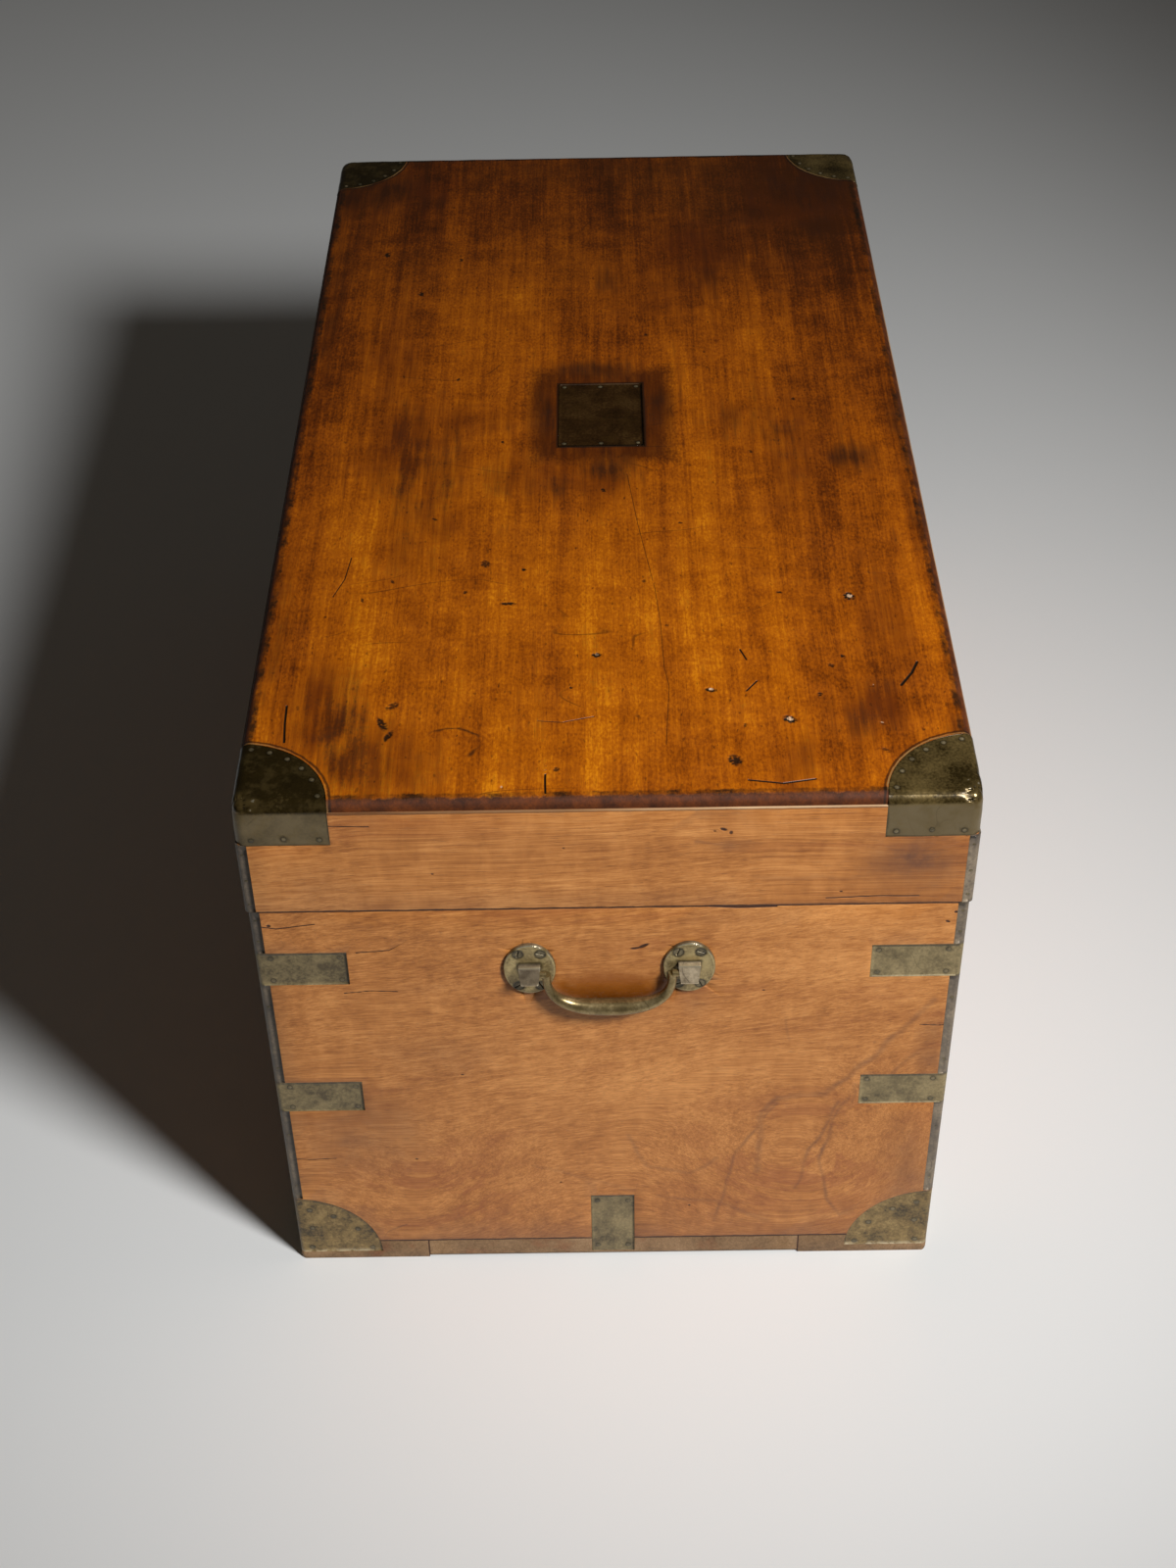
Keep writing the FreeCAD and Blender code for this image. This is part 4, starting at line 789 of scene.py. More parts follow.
topSet = {
    "half": (483.8, 250.8), "level": 482.5, "ledge": 474.0, "round": 7.0, "cell": 4.0,
    "capRadius": 65.0, "capHalf": (483.4, 250.4), "capFloor": 480.8, "capRound": 6.4, "capCuts": 16,
    "plateHalf": (49.25, 35.25), "plateFloor": 480.8,
    "plug": (465.8, 232.8), "underside": 464.5, "undulation": 0.16,
    "gains": (0.8, 1.6, 0.4), "ragged": 1.3,    # soot of dents, its gain, soot of a shallow crack
    "core": 0.55,                               # share of a dent that shows bare wood and a painted highlight
    # x, y, radius along and across, turn, depth, soot, bare wood and painted highlight
    "dents": (
        (-402, -127, 6.6, 4.6, 60, 1.1, 1, 0.9), (-259, -181, 6.4, 5.2, 30, 1.1, 1, 0.8),
        (-368, -74, 4.8, 3.2, 80, 0.9, 1, 0.9), (-326, 6, 4.6, 3.2, 90, 0.8, 1, 0.5),
        (-211, 89, 6, 5, 0, 0.4, 0.8, 0), (-342, -161, 4, 2.4, 50, 0.7, 0.8, 0.2),
        (-470, 71, 2.8, 2.2, 0, 0.5, 0.3, 0.8), (272, 126, 4, 3, 0, 0.5, 0.8, 0),
        (-445, -87, 8, 6, 20, 0.7, 0.9, 0.2), (-401, 155, 10, 3.8, 22, 0.5, 0.9, 0),
        (-381, 149, 7, 3.8, -50, 0.4, 0.8, 0), (-414, 150, 8, 3, -25, 0.5, 0.9, 0),
        (-396, -22, 4, 1.8, 30, 0.3, 0.5, 0), (-262, 71, 2.4, 7.5, 0, 0.4, 0.9, 0),
        (-219, 60, 2.4, 2, 40, 0.5, 1, 0), (-247, 103, 2.6, 2, 0, 0.4, 0.8, 0),
        (-232, 158, 3.6, 1.6, 20, 0.4, 0.8, 0), (-255, 179, 4.2, 1.4, 10, 0.4, 0.8, 0),
        (-452, 34, 3, 3, 0, 0.4, 0.8, 0), (-363, 24, 1.8, 1.8, 0, 0.5, 1, 0),
        (-408, -190, 3.6, 1.6, 60, 0.4, 0.4, 0.7), (-437, -190, 4.5, 2.2, 50, 0.4, 0.7, 0.3),
        (-366, -188, 2.2, 1.6, 0, 0.3, 0.5, 0.6), (-332, -170, 3.2, 2, 20, 0.4, 0.9, 0),
        (-236, -30, 2.6, 2, 30, 0.3, 0.7, 0), (-253, -130, 3, 1.6, 70, 0.4, 0.9, 0),
        (-375, -150, 2.6, 2.6, 0, 0.4, 0.9, 0), (-408, -96, 2.8, 1.8, 0, 0.3, 0.8, 0),
        (-113, -1, 3.6, 2.2, 20, 0.3, 0.9, 0), (209, 159, 5, 3, 0, 0.3, 0.9, 0),
        (284, 194, 6, 3.5, 0, 0.3, 0.9, 0), (60, 120, 3, 2, 0, 0.3, 0.9, 0),
        (-60, -120, 3.4, 2, 30, 0.3, 0.8, 0), (130, -40, 3, 2.4, 0, 0.3, 0.8, 0),
        (-150, 130, 3.4, 1.8, 50, 0.3, 0.8, 0), (20, -160, 3, 2, 0, 0.3, 0.8, 0),
        (-40, 80, 2.6, 1.8, 20, 0.3, 0.9, 0), (-160, -60, 2.6, 1.8, 80, 0.3, 0.8, 0),
    ),
    # points, half width, depth
    "cracks": (
        (((-379, 223), (-398, 222.5), (-419, 221)), 0.55, 0.8),
        (((-446, 41), (-462, 41.5), (-482, 41)), 0.5, 0.8),
        (((-90, -20), (-160, -27), (-246, -38), (-290, -41), (-340, -42), (-364, -45), (-395, -43),
          (-428, -41)), 0.25, 0.12), (((-322, -97), (-334, -101)), 0.5, 0.4),
        (((-370, -99), (-359, -107)), 0.5, 0.4), (((-200, 191), (-228, 194), (-250, 201)), 0.35, 0.3),
        (((-340, -222), (-352, -217), (-366, -208)), 0.8, 0.4),
        (((-396, 8), (-402, 30), (-400, 47)), 0.35, 0.25),
        (((-466, -95), (-470, -118), (-466, -140)), 0.6, 0.35),
    ),
    # x, y, radius along and across, strength
    "stains": (
        (415, 225, 62, 95, 0.95), (395, -190, 70, 85, 0.95), (359, -149, 60, 60, 0.6),
        (330, -205, 60, 50, 0.7), (455, 0, 34, 260, 0.45), (75, 10, 26, 60, 0.85), (0, 0, 72, 62, 0.75),
        (-82, -5, 34, 44, 0.8), (13, 47, 60, 24, 0.6), (13, -50, 64, 26, 0.75), (-69, -201, 42, 40, 0.75),
        (-31, -137, 34, 40, 0.45), (230, -8, 40, 34, 0.55), (387, 159, 34, 34, 0.6),
        (415, -205, 130, 90, 1), (-396, 190, 52, 42, 0.62), (-440, 182, 50, 38, 0.62),
        (270, -125, 160, 110, 0.35), (-60, 150, 150, 70, 0.35), (0, -112, 80, 55, 0.4),
        (-330, 0, 60, 40, 0.2), (-405, -180, 40, 50, 0.38), (-367, -198, 34, 44, 0.32),
        (-422, -240, 60, 18, 0.5), (-300, 238, 190, 16, 0.45), (-100, -240, 300, 14, 0.5),
        (150, 236, 250, 20, 0.6), (-388, -158, 16, 14, 0.35), (-110, 30, 30, 30, 0.5),
    ),
    "redStains": (
        (-385, 196, 85, 52, 1), (-440, 172, 60, 48, 1), (-50, 160, 120, 60, 0.8), (-90, 60, 60, 90, 0.6),
        (280, -90, 90, 70, 0.8), (-10, 110, 50, 60, 0.6), (-392, -188, 50, 46, 0.85),
        (-445, 150, 90, 60, 0.75), (-451, -128, 60, 34, 0.5), (-109, 130, 150, 60, 0.6),
        (-89, -148, 120, 50, 0.5), (0, 0, 120, 100, 0.8), (-100, 0, 60, 60, 0.6), (410, 200, 100, 110, 0.7),
        (380, -180, 110, 110, 0.8), (220, -60, 120, 90, 0.45), (-180, 150, 80, 40, 0.5),
        (-300, -205, 90, 30, 0.6), (100, 180, 160, 50, 0.5), (-20, -170, 90, 60, 0.5),
    ),
    "ring": ((-423, 106), (16, 20), 2.4),       # centre, radii, half width of a stain's outline
}


def drawRim(build, values, core):
    # rounded rim and lip, drawn out ring by ring from the border of the flat
    border = [edge for edge in build.edges if edge.is_boundary]
    for turn in (15, 30, 45, 60, 75, 90, None):
        verts, border = drawOut(build, border)
        for vert in verts:
            if turn is None:
                vert.co.z = values["ledge"]
                continue
            base = Vector([max(-limit, min(limit, vert.co[axis])) for axis, limit in enumerate(core)])
            away = Vector((abs(base.x) > core[0] - 0.01, abs(base.y) > core[1] - 0.01)).normalized()
            out = values["round"] * math.sin(math.radians(turn))
            vert.co.x = base.x + math.copysign(away.x * out, base.x)
            vert.co.y = base.y + math.copysign(away.y * out, base.y)
            vert.co.z = values["level"] - values["round"] * (1 - math.cos(math.radians(turn)))


def sinkCapRecess(build, values, sideX, sideY):
    corner = np.array((sideX * chestSet["endX"], sideY * chestSet["lidY"], 0.0))
    reach, steps = values["capRadius"], values["capCuts"]
    for step in range(steps):
        turn = math.radians((step + 0.5) * 90 / steps)
        away = np.array((-sideX * math.cos(turn), -sideY * math.sin(turn), 0.0))

        def beside(middles):
            offset = (middles - corner)[:, :2]
            length = np.hypot(*offset.T)
            return (np.abs(length - reach - 2) < 17) & (offset @ away[:2] > length * math.cos(math.radians(9)))
        cutAcross(build, facesWhere(build, beside), Vector(corner + away * reach), Vector(away))
    faces = facesWhere(build, lambda middles: np.hypot(*(middles - corner)[:, :2].T) < reach)
    half, radius = values["capHalf"], values["capRound"]
    for vert in sinkFaces(build, faces):
        base = Vector([max(radius - half[axis], min(half[axis] - radius, vert.co[axis])) for axis in (0, 1)]
                      + [min(values["capFloor"] - radius, vert.co.z)])
        away = vert.co - base
        if away.length > radius:
            vert.co = base + away.normalized() * radius


def makeTopBoard(values):
    build = bmesh.new()
    level = values["level"]
    core = [half - values["round"] for half in values["half"]]
    segments = [round(2 * half / values["cell"]) for half in core]
    bmesh.ops.create_grid(build, x_segments=segments[0], y_segments=segments[1], size=1.0)
    bmesh.ops.scale(build, vec=(core[0], core[1], 1.0), verts=build.verts)
    bmesh.ops.translate(build, vec=(0, 0, level), verts=build.verts)
    drawRim(build, values, core)
    for sideX, sideY in corners.values():
        sinkCapRecess(build, values, sideX, sideY)
    # recess for the name plate
    half = np.array(values["plateHalf"])

    def besidePlate(margin):
        return facesWhere(build, lambda spots: (np.abs(spots[:, :2]) - half).max(axis=1) < margin)
    for axis in (0, 1):
        for side in (-1, 1):
            normal = Vector((side * (axis == 0), side * (axis == 1), 0))
            cutAcross(build, besidePlate(6), normal * half[axis], normal)
    sinkFaces(build, besidePlate(0), (0, 0, values["plateFloor"] - level))
    # finer cells where there are dents, the ring and cracks
    centre, radii = values["ring"][:2]
    for margin in (4.0, 1.5, 0.6):
        def besideDent(spots):
            flat = spots[:, :2]
            ring = np.abs(np.hypot(*((flat - centre) / radii).T) - 1) * min(radii) < margin
            return (besideMarks(flat, values["dents"], margin) | ring) & (spots[:, 2] > level - 0.1)
        refine(build, besideDent, 1)
    for margin in (4.5, 2.2, 1.2, 0.7):
        refine(build, lambda spots: besideLines(spots[:, :2], values["cracks"], margin)
               & (spots[:, 2] > level - 0.1), 1)
    # underside: in to the plug, down, and closed
    border = [edge for edge in build.edges if edge.is_boundary]
    for deep in (values["ledge"], values["underside"]):
        verts, border = drawOut(build, border)
        for vert in verts:
            for axis, limit in enumerate(values["plug"]):
                vert.co[axis] = max(-limit, min(limit, vert.co[axis]))
            vert.co.z = deep
    bmesh.ops.remove_doubles(build, verts=[vert for vert in build.verts if vert.co.z < values["ledge"] + 0.01],
                             dist=0.01)
    bmesh.ops.contextual_create(build, geom=[edge for edge in build.edges if edge.is_boundary])
    bmesh.ops.recalc_face_normals(build, faces=build.faces)
    print("top board:", len(build.faces), "faces,",
          sum(not edge.is_manifold for edge in build.edges), "open edges")
    wearTopBoard(newPiece("lid_top_worn", build, "lid", finishes["lid_top_wood"],
                          ("lid_top_board",)), values)


def wearTopBoard(mesh, values):
    places, normals = meshArrays(mesh)
    flat = places[:, :2].copy()
    onTop = (places[:, 2] > values["level"] - 0.05) & (normals[:, 2] > 0.5)
    rim = (places[:, 2] > values["ledge"] + 0.5) & ~onTop & (normals[:, 2] > -0.1)
    sink = values["undulation"] * (0.55 + 0.45 * lumps(places, 45.0)) + 0.05 * (1.0 + lumps(places, 14.0, 5.0))
    deep, soot = hollowsOn(places, flat, values["dents"], values["cracks"], values["gains"], values["ragged"])
    sink += deep
    bare = np.zeros(len(places))
    # bare wood and a painted highlight in the middle of each dent
    for x, y, *radii, turn, depth, dark, amount in values["dents"]:
        core = blob(flat, (x + 0.9, y - 0.5), np.array(radii) * values["core"], turn)
        bare = np.maximum(bare, amount * np.clip(core * 2, 0, 1))
    drawn = places * (0.4, 1.0, 1.0)
    uneven = 1.0 + 0.5 * lumps(drawn, 20.0, 2.0) + 0.4 * lumps(drawn, 8.0, 6.0)
    centre, radii, width = values["ring"]
    away = np.hypot(*((flat - centre) / radii).T) - 1 + 0.12 * lumps(places, 7.0, 4.0)
    outline = fade(np.abs(away) * min(radii) / width)
    outline *= np.clip(0.75 + 0.9 * lumps(places, 8.0, 3.0) + (flat[:, 0] - centre[0]) / 40.0, 0, 1)
    stain = np.maximum(stainsOn(flat, values["stains"], uneven), 0.95 * outline)
    places[onTop, 2] -= sink[onTop]
    wear = 0.25 * np.clip(0.5 + lumps(places[rim], 22.0, 7.0), 0, 1.2)
    places[rim] -= normals[rim] * wear[:, None]
    setPlaces(mesh, places)
    above = places[:, 2] > values["ledge"] + 1
    paint(mesh, soot=soot * above, bare=bare * above, stain=stain * above,
          redStain=stainsOn(flat, values["redStains"], uneven) * above)


makeTopBoard(topSet)

pinSet = {
    # on the sides: body, radius, how far it stands out, and places as run from the corner and level
    "sides": (
        ("chest", 1.7, 0.16, [(run, low + rise) for low in (177.0, 312.0)
                              for run, rise in ((60, 5), (60, 27), (11, 5), (11, 27))]),
        ("chest", 1.8, 0.16, ((10, 14), (58, 13), (12, 60), (30, 52), (48, 36), (12, 38))),
        ("lid", 1.5, 0.16, ((58, 451), (12, 451), (34, 452))),
        ("chest", 1.1, 0.12, [(4.6, level) for level in (90, 150, 225, 290, 356, 376)]),
        ("lid", 1.1, 0.12, [(4.6, level) for level in (392, 414, 438)]),
    ),
    "capTurns": (9, 22, 36, 50, 64, 81), "capReach": 59.5, "capHead": (1.5, -0.05),
    "plate": [(x, y) for x in (-44, 44) for y in (-30, 0, 30)], "plateHead": (1.5, -0.08),
    "footStrap": {-1: ((-12, 67), (12, 67)), 1: ((-12, 12), (12, 12))}, "footHead": (1.7, 0.16),
}
pins = {"chest": [], "lid": []}         # place, outward direction, radius, how far it stands out


def layPins(values):
    endX, caseY, lidY, top = (chestSet[name] for name in ("endX", "caseY", "lidY", "top"))
    for sideX, sideY in corners.values():
        for face in ("end", "long"):
            for body, radius, out, spots in values["sides"]:
                halfY = lidY if body == "lid" else caseY
                for run, level in spots:
                    if face == "end":
                        pin = (sideX * endX, sideY * (halfY - run), level), (sideX, 0, 0), radius, out
                    else:               # flush on the lid's long sides
                        pin = ((sideX * (endX - run), sideY * halfY, level), (0, sideY, 0),
                               radius, out * (body == "chest"))
                    pins[body].append(pin)
        for turn in values["capTurns"]:
            across, along = (values["capReach"] * part(math.radians(turn)) for part in (math.cos, math.sin))
            pins["lid"].append(((sideX * (endX - across), sideY * (lidY - along), top), (0, 0, 1),
                                *values["capHead"]))
        for y, z in values["footStrap"][sideY]:
            pins["chest"].append(((sideX * endX, y, z), (sideX, 0, 0), *values["footHead"]))
    for x, y in values["plate"]:
        pins["lid"].append(((x, y, top), (0, 0, 1), *values["plateHead"]))


def pinHead(radius, lift):
    build = bmesh.new()
    profile = ((0.0, lift), (radius * 0.5, lift - 0.05), (radius * 0.8, lift - 0.18),
               (radius * 1.3, lift - 0.24), (radius * 1.34, lift - 0.8))
    verts = [build.verts.new((reach, 0, rise)) for reach, rise in profile]
    edges = [build.edges.new(pair) for pair in zip(verts, verts[1:])]
    bmesh.ops.spin(build, geom=verts + edges, cent=(0, 0, 0), axis=(0, 0, 1), dvec=(0, 0, 0),
                   angle=math.radians(360), steps=12, use_merge=True)
    bmesh.ops.remove_doubles(build, verts=build.verts, dist=0.01)
    bmesh.ops.recalc_face_normals(build, faces=build.faces)
    if sum(face.normal.z for face in build.faces) < 0:
        bmesh.ops.reverse_faces(build, faces=build.faces)
    mesh = bpy.data.meshes.new("pinHead")
    build.to_mesh(mesh)
    build.free()
    return mesh


def makePins(name, body):
    heads = {}
    build = bmesh.new()
    for spot, direction, radius, lift in pins[body]:
        if (radius, lift) not in heads:
            heads[radius, lift] = pinHead(radius, lift)
        start = len(build.verts)
        build.from_mesh(heads[radius, lift])
        build.verts.ensure_lookup_table()
        turn = Vector((0, 0, 1)).rotation_difference(Vector(direction)).to_matrix().to_4x4()
        bmesh.ops.transform(build, matrix=Matrix.Translation(Vector(spot)) @ turn, verts=build.verts[start:])
    for head in heads.values():
        bpy.data.meshes.remove(head)
    mesh = newPiece(name, build, body, finishes["pin_brass"], sharp=60.0)
    places = meshArrays(mesh)[0]
    spots, sizes = (np.array([pin[part] for pin in pins[body]]) for part in (0, 2))
    away = np.array([(np.linalg.norm(spots - place, axis=1) / sizes).min() for place in places])
    # a dark ring round each head, and its outer part darker
    paint(mesh, grime=(away > 1.1) * 0.7, edge=(away > 0.7) * 0.4)


layPins(pinSet)
makePins("case_pins", "chest")
makePins("lid_pins", "lid")
print("pins:", sum(len(group) for group in pins.values()))

# eased edge, cell, how far it is sunk, depth and size of its ripples
sheetSet = {
    "lid_corner": (0.35, 2.0, 0.05, 0.42, 13.0), "base_corner": (0.35, 2.6, 0.05, 0.22, 13.0),
    "upper_strap": (0.30, 2.8, 0.03, 0.12, 15.0), "lower_strap": (0.30, 2.8, 0.03, 0.14, 14.0),
    "foot_strap": (0.35, 2.6, 0.05, 0.35, 12.0), "edge_strip": (0.25, 6.0, 0.02, 0.12, 20.0),
    "lid_edge_strips": (0.25, 4.0, 0.02, 0.12, 20.0), "name_plate": (0.25, 3.0, 0.05, 0.10, 22.0),
}
sheetWear = {
    "edgeAngle": 24, "underside": 3.5,
    "topSink": 0.22,                    # brass on top lies this much under the wood, so its pins fit
    "pinNear": 170, "pinDirt": (0.6, 3.2),      # share of a head's radius, and how far dirt spreads from there
    "blunt": 26.0, "bluntDepth": 0.7, "bare": 0.12,
}
# distances in from the end, in from the side and down, radius, depth
crumpleSet = {
    "front_left": (
        (3, 4, 2, 11, 1.5), (9, 3, 6, 6, 0.9), (4, 12, 3, 6, 0.8), (28, 3, 5, 7, 0.5), (6, 30, 6, 6, 0.5),
        (40, 6, 4, 6, 0.3),
    ),
    "back_left": (
        (3, 3, 3, 12, 1.6), (10, 10, 0, 6, 0.6), (4, 14, 8, 6, 0.8), (18, 6, 3, 5, 0.5), (8, 24, 4, 5, 0.4),
        (30, 20, 0, 6, 0.25), (5, 40, 2, 5, 0.35),
    ),
    "front_right": ((3, 3, 3, 10, 1.1), (12, 5, 3, 6, 0.6), (30, 4, 6, 6, 0.4)),
    "back_right": ((3, 3, 3, 9, 1), (7, 16, 3, 6, 0.5), (4, 36, 4, 5, 0.4)),
}


def crumple(places, corner):
    sideX, sideY = corners[corner]
    local = np.stack([chestSet["endX"] - sideX * places[:, 0], chestSet["lidY"] - sideY * places[:, 1],
                      chestSet["top"] - places[:, 2]], axis=1)
    ragged = 1.0 + 0.5 * lumps(places, 5.0, 1.0)
    push = sum(depth * fade(np.linalg.norm(local - np.array(spot), axis=1) / radius) * ragged
               for *spot, radius, depth in crumpleSet[corner])
    atCorner = fade(np.linalg.norm(local, axis=1) / sheetWear["blunt"])
    return push + atCorner * sheetWear["bluntDepth"] * (1.0 + lumps(places, 9.0, 2.0)), atCorner


def skinDistance(places, onLid):
    # signed distance to the chest's rounded outside
    radius = chestSet["capRound" if onLid else "cornerRound"]
    limits = (chestSet["endX"], chestSet["lidY"], chestSet["top"]) if onLid else (
        chestSet["endX"], chestSet["caseY"])
    beyond = np.abs(places[:, :len(limits)]) - (np.array(limits) - radius)
    return np.linalg.norm(np.maximum(beyond, 0), axis=1) + np.minimum(beyond.max(axis=1), 0) - radius


def makeSheet(name, values):
    ease, step, sunk, ripple, size = sheetSet[next(kind for kind in sheetSet if name.startswith(kind))]
    build = merged(name)
    easeEdges(build, ease)
    gridCut(build, step)
    build.verts.index_update()
    edgeVerts = {vert.index for item in build.edges if item.is_manifold
                 and item.calc_face_angle(0.0) > math.radians(values["edgeAngle"]) for vert in item.verts}
    finish = finishes["foot_brass" if name.startswith("base_corner") else slotOf[name]]
    mesh = replaceNode(name, "_sheet", build, finish, 32.0)
    places, normals = meshArrays(mesh)
    edge, worn, grime = np.zeros(len(places)), np.zeros(len(places)), np.zeros(len(places))
    edge[list(edgeVerts)] = 1.0
    push = sunk + ripple * (0.5 + 0.5 * lumps(places, size))
    push[places[:, 2] > chestSet["top"] - 1.5] += values["topSink"]
    if name.startswith("lid_corner"):
        extra, atCorner = crumple(places, name.removeprefix("lid_corner_"))
        push += extra
        # rubbed near the corner, and painted highlights as small glints there
        worn = atCorner * np.clip(0.4 + lumps(places, 3.0), 0, 1)
        glints = np.clip(3.0 * lumps(places, 5.0, 8.0) - 1.0, 0, 1)
        worn = np.maximum(worn, (atCorner > values["bare"]) * glints)
    share, spreading = values["pinDirt"]
    for spot, radius in [pin[::2] for pin in pins["chest"] + pins["lid"]]:
        if np.abs(np.array(spot) - places.mean(axis=0)).max() < values["pinNear"]:
            away = np.linalg.norm(places - np.array(spot), axis=1)
            grime = np.maximum(grime, fade((away - radius * share) / spreading))
    outside = skinDistance(places, name.startswith("lid_") or name == "name_plate") > -0.5
    outside |= places[:, 2] < values["underside"]
    places[outside] -= normals[outside] * push[outside, None]
    setPlaces(mesh, places)
    paint(mesh, edge=edge, worn=worn, grime=grime)


sheets = [name for name in nodes if any(name.startswith(kind) for kind in sheetSet)]
for name in sheets:
    makeSheet(name, sheetWear)
print("brass sheet:", len(sheets), "pieces")

boardSet = {
    "ease": 0.45, "cell": 24.0, "gains": (1.0, 1.8, 1.0),
    # y, z, radius along y and z, turn, depth, soot
    "leftMarks": (
        (237, 371, 1.8, 1.5, 0, 0.4, 1), (-241, 375, 1.6, 1.4, 0, 0.4, 1),
        (-236, 366, 2.2, 1.2, 20, 0.3, 0.9), (-24, 346, 5.2, 1.7, -30, 0.8, 1),
        (-18.5, 344, 4.6, 1.3, -8, 0.6, 1), (252, 46, 1.4, 1.4, 0, 0.3, 0.9),
        (-217, 36, 1.6, 1.4, 0, 0.3, 0.9), (78, 405, 1.5, 1.2, 0, 0.3, 0.8),
        (150, 120, 1.6, 1.2, 0, 0.3, 0.7), (40, 90, 1.5, 1, 0, 0.3, 0.7), (-110, 300, 1.4, 1, 0, 0.3, 0.7),
        (110, 215, 1.8, 1, 10, 0.3, 0.7), (-60, 60, 1.4, 1.2, 0, 0.3, 0.8),
    ),
    "railMarks": (
        (-78, 455, 3.2, 1.6, 20, 0.4, 0.8), (-83, 452, 1.6, 2.2, 0, 0.3, 0.7),
        (-72, 453.5, 1.2, 1.2, 0, 0.3, 0.6), (120, 418, 1.3, 1, 0, 0.3, 0.7),
        (30, 440, 1.2, 1, 0, 0.3, 0.6), (-160, 396, 1.5, 1.1, 0, 0.3, 0.7),
    ),
    # points along y and z, half width, strength
    "leftVeins": (
        (((-233, 287), (-205, 246), (-187, 221), (-159, 189), (-124, 185), (-113, 161),
          (-112, 101)), 3, 0.42), (((-172, 178), (-151, 124), (-147, 101), (-140, 80)), 1.5, 0.42),
        (((-124, 179), (-96, 125), (-87, 78), (-80, 40)), 1.5, 0.4),
        (((-12, 145), (-27, 108), (-60, 98), (-81, 116)), 2, 0.28), (((-127, 269), (-130, 248)), 1.2, 0.25),
        (((-231, 246), (-216, 220), (-205, 203)), 2.2, 0.36),
        (((10, 90), (-42, 70), (-82, 64), (-123, 39)), 2.2, 0.28),
        (((-193, 208), (-167, 160), (-160, 114), (-166, 67), (-186, 32)), 1.6, 0.44),
        (((60, 110), (20, 95), (-10, 80)), 2, 0.25), (((181, 30), (162, 40)), 0.7, 0.6),
    ),
    "railVeins": (
        (((-60, 444), (-84, 439), (-96, 444)), 1.6, 0.3),
        (((-100, 412), (-160, 408), (-220, 414)), 2.2, 0.25),
    ),
    # y, z, radius along y and z, strength
    "leftStains": (
        (185, 150, 75, 70, 0.5), (125, 235, 60, 34, 0.3), (-228, 100, 34, 75, 0.5),
        (-236, 235, 20, 60, 0.45), (170, 135, 26, 18, 0.4), (0, 282, 70, 12, 0.42), (60, 303, 14, 26, 0.35),
        (-60, 296, 14, 24, 0.35), (121, 306, 60, 10, 0.18), (246, 200, 14, 170, 0.25),
        (0, 372, 240, 9, 0.18),
    ),
    "railStains": (
        (-212, 428, 60, 56, 0.65), (-84, 440, 22, 10, 0.3), (0, 470, 240, 7, 0.25),
        (200, 410, 60, 20, 0.25),
    ),
    # points along y and z, half width, depth
    "leftCracks": (
        (((184, 343), (165, 344.5), (144, 346.5)), 0.35, 0.3),
        (((190, 303), (170, 305), (152, 304)), 0.3, 0.25),
        (((248, 371), (232, 368), (205, 372)), 0.35, 0.3),
        (((-70, 384), (-90, 382.5), (-116, 383)), 0.7, 0.5),
        (((248, 122), (230, 121), (212, 122)), 0.3, 0.25),
        (((-225, 262), (-238, 261), (-248, 263)), 0.3, 0.25),
    ),
    "railCracks": (
        (((-150, 390), (-185, 391.5), (-214, 391)), 0.35, 0.3),
        (((160, 462), (190, 463), (206, 462)), 0.3, 0.25),
    ),
}


def makeBoard(name, values, marked):
    # only the outside of the left end has marks, cracks, veins and stains
    build = merged(name)
    easeEdges(build, values["ease"], 2.0)
    gridCut(build, values["cell"])
    if marked:
        marks, cracks, veins, stains = (values[marked + kind]
                                        for kind in ("Marks", "Cracks", "Veins", "Stains"))
        skin = 0.05 - chestSet["endX"]
        for margin, cuts in ((14.0, 5), (3.0, 3), (0.8, 1)):
            refine(build, lambda spots: (besideMarks(spots[:, 1:], marks, margin)
                                         | besideLines(spots[:, 1:], cracks + veins, margin))
                   & (spots[:, 0] < skin), cuts)
    mesh = replaceNode(name, "_eased", build, boardFinish[name], 40.0)
    if marked:
        places = meshArrays(mesh)[0]
        flat, outer = places[:, 1:], places[:, 0] < skin
        deep, soot = hollowsOn(places, flat, marks, cracks, values["gains"])
        places[:, 0] += deep * outer
        uneven = 1.0 + 0.7 * lumps(places, 24.0, 2.0)
        stain = stainsOn(flat, stains, uneven)
        for points, width, strength in veins:
            away = strokeDistance(flat + 2.5 * lumps(places, 22.0, width)[:, None], points)
            stain = np.maximum(stain, strength * uneven * fade(away / (width * 1.6)))
        setPlaces(mesh, places)
        paint(mesh, soot=soot * outer, stain=stain * outer)


for name in boardFinish:
    makeBoard(name, boardSet, {"left_end_board": "left", "lid_left_rail": "rail"}.get(name))
print("boards:", len(boardFinish))

handleSet = {
    "spot": (56.5, 327.0), "half": (18.5, 24.0), "screws": (7.9, 15.5), "screwHead": 3.9,
    "boss": (6.2, 7.8, 6.6),            # half width at its foot and at its top, half height
    "slope": (493.0, 333.6, 0.455),     # how far out its upper edge is, at what level, and its fall
    "face": 488.0, "root": 487.6, "front": 491.0,       # levels out of the board on the rose and its block
}


def fromSpot(places, values):
    # sideways from the middle of the nearest rose, and up
    return np.abs(places[:, 1]) - values["spot"][0], places[:, 2] - values["spot"][1]


def screwDistance(places, values):
    across, rise = fromSpot(places, values)
    return np.hypot(np.abs(across) - values["screws"][0], np.abs(rise) - values["screws"][1])


def bossDistance(places, values):
    # from the outline of the block on a rose, in the plane of the board
    foot, head, tall = values["boss"]
    across, rise = fromSpot(places, values)
    half = foot + (head - foot) * np.clip(0.5 + rise / (2 * tall), 0, 1)
    return np.maximum(np.abs(across) - half, np.abs(rise) - tall)


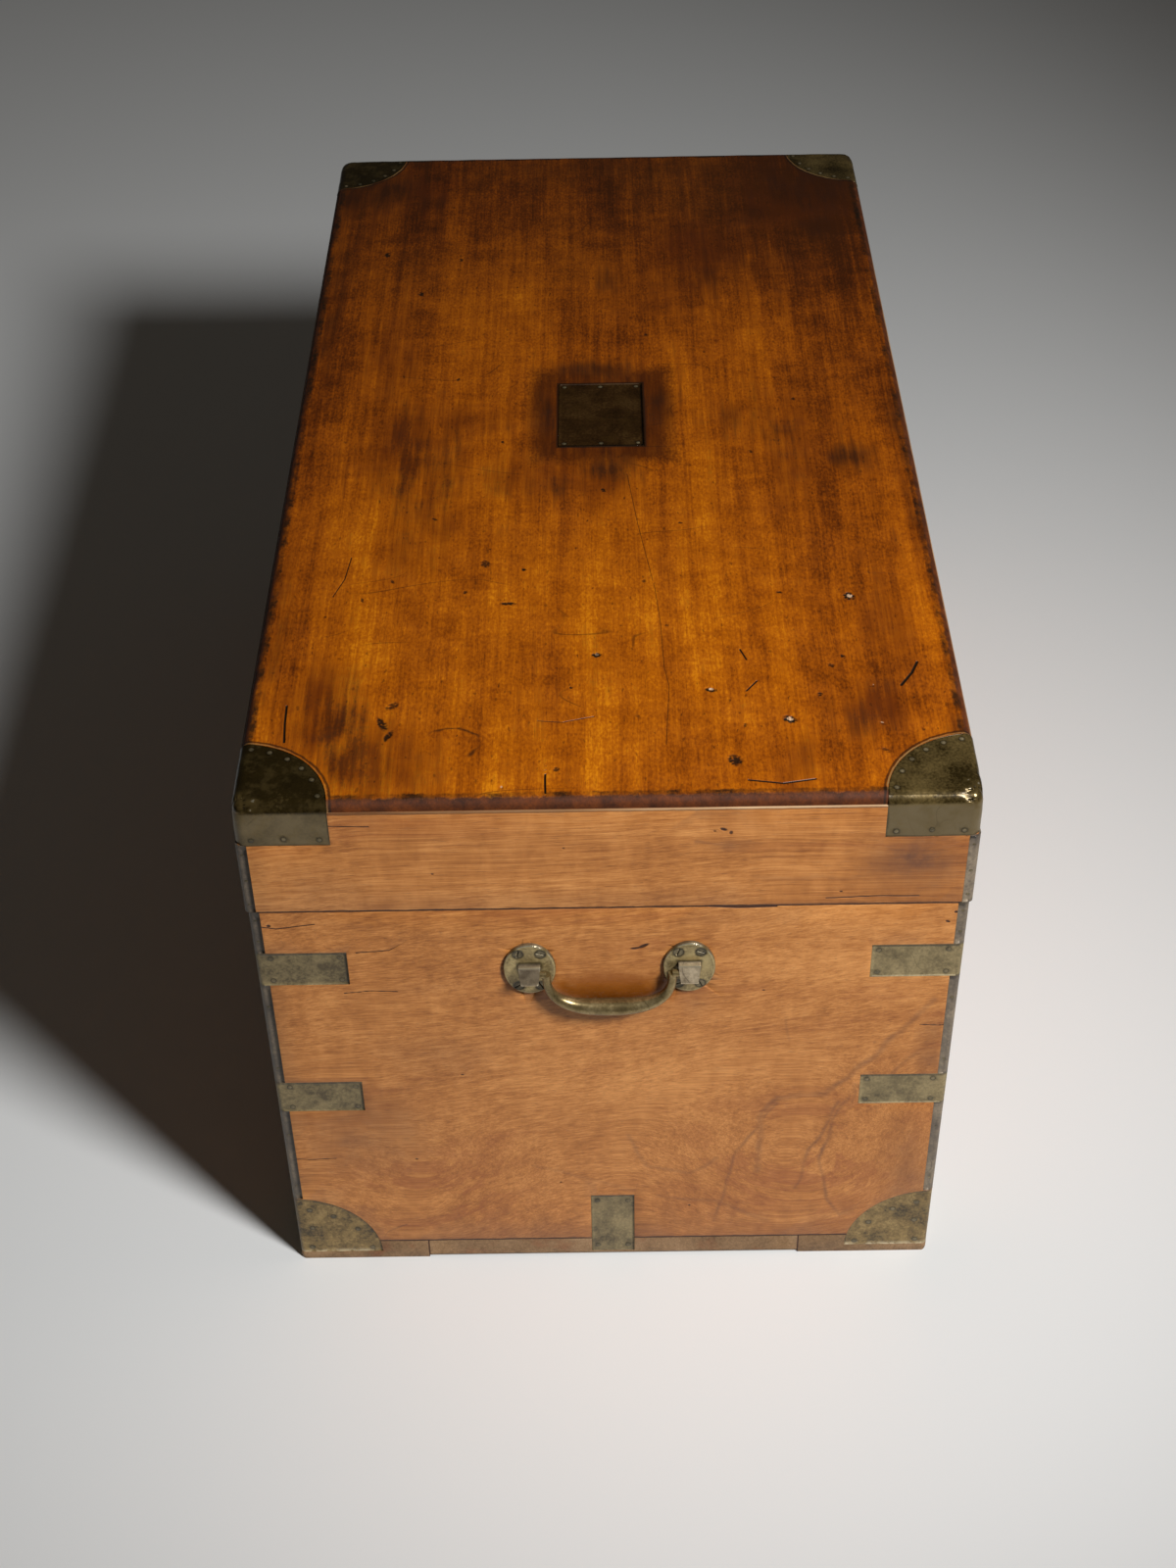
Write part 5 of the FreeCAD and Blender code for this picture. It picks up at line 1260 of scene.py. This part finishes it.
def makeRose(name, values):
    mesh, places = wornCopy(name, "rose_brass", 0.25, 1.4, (1, 2))
    face = fade((values["face"] - np.abs(places[:, 0])) / 0.8) > 0.6
    across, rise = fromSpot(places, values)
    reach = np.hypot(across / values["half"][0], rise / values["half"][1])
    ragged = 0.35 * lumps(places, 5.0)
    # painted shade and dirt: dark round the block's foot, round the screw heads and in a ring inside the rim;
    # off the face all stays dark
    grime = fade(np.abs(bossDistance(places, values) - 0.3) / 2.4) * (0.9 + ragged)
    grime = np.maximum(grime, fade(np.abs(screwDistance(places, values) - values["screwHead"]) / 1.5))
    grime = np.maximum(grime, 0.7 * fade(np.abs(reach - 0.90) / 0.06) * (0.7 + ragged))
    worn = np.clip(1.6 * lumps(places, 11.0, 4.0) - 0.1, 0, 0.65)
    # painted highlight: a bright rim, strongest towards the top
    worn = np.maximum(worn, fade(np.abs(reach - 0.98) / 0.085) * np.clip(0.55 + rise / 30, 0.2, 1))
    paint(mesh, grime=np.where(face, grime, 0.8), worn=worn * (1 - grime) * (reach > 0.3))


def makeEye(name, values):
    mesh, places = wornCopy(name, "eye_brass", 0.3, 1.6)
    start, level, fall = values["slope"]
    limit = start + (level - places[:, 2]) * fall
    places[:, 0] = np.copysign(np.minimum(np.abs(places[:, 0]), limit), places[:, 0])
    setPlaces(mesh, places)
    out, rise = np.abs(places[:, 0]), fromSpot(places, values)[1]
    front = np.clip((out - values["front"]) / 1.2, 0, 1)
    # painted highlight on the block's lips, widest along the bottom
    lip = fade(-bossDistance(places, values) / np.where(rise < 0, 2.4, 1.6)) * front * (np.abs(rise) > 4.0)
    # the lips carry the painted highlight; grime and painted shade grow towards the block's root
    paint(mesh, worn=1.1 * lip + 0.35 * front * np.clip(0.4 + lumps(places, 5.0), 0, 1),
          grime=fade((out - values["root"]) / 2.6))


def makeHandleScrews(values):
    mesh, places = wornCopy("handle_screws", "screw_brass", 0, 0.9, (1, 2))
    away = screwDistance(places, values)
    # painted shade: dark slots, and each head darker towards its rim
    grime = np.maximum(np.abs(places[:, 0]) < values["face"] - 0.5, fade((values["screwHead"] - away) / 1.1))
    paint(mesh, grime=grime, worn=fade(away / 3.2) * 0.6)


for name in nodes:
    if name.startswith("rose_"):
        makeRose(name, handleSet)
    if name.startswith("eye_"):
        makeEye(name, handleSet)
makeHandleScrews(handleSet)
print("handles ready")

bpy.context.view_layer.update()
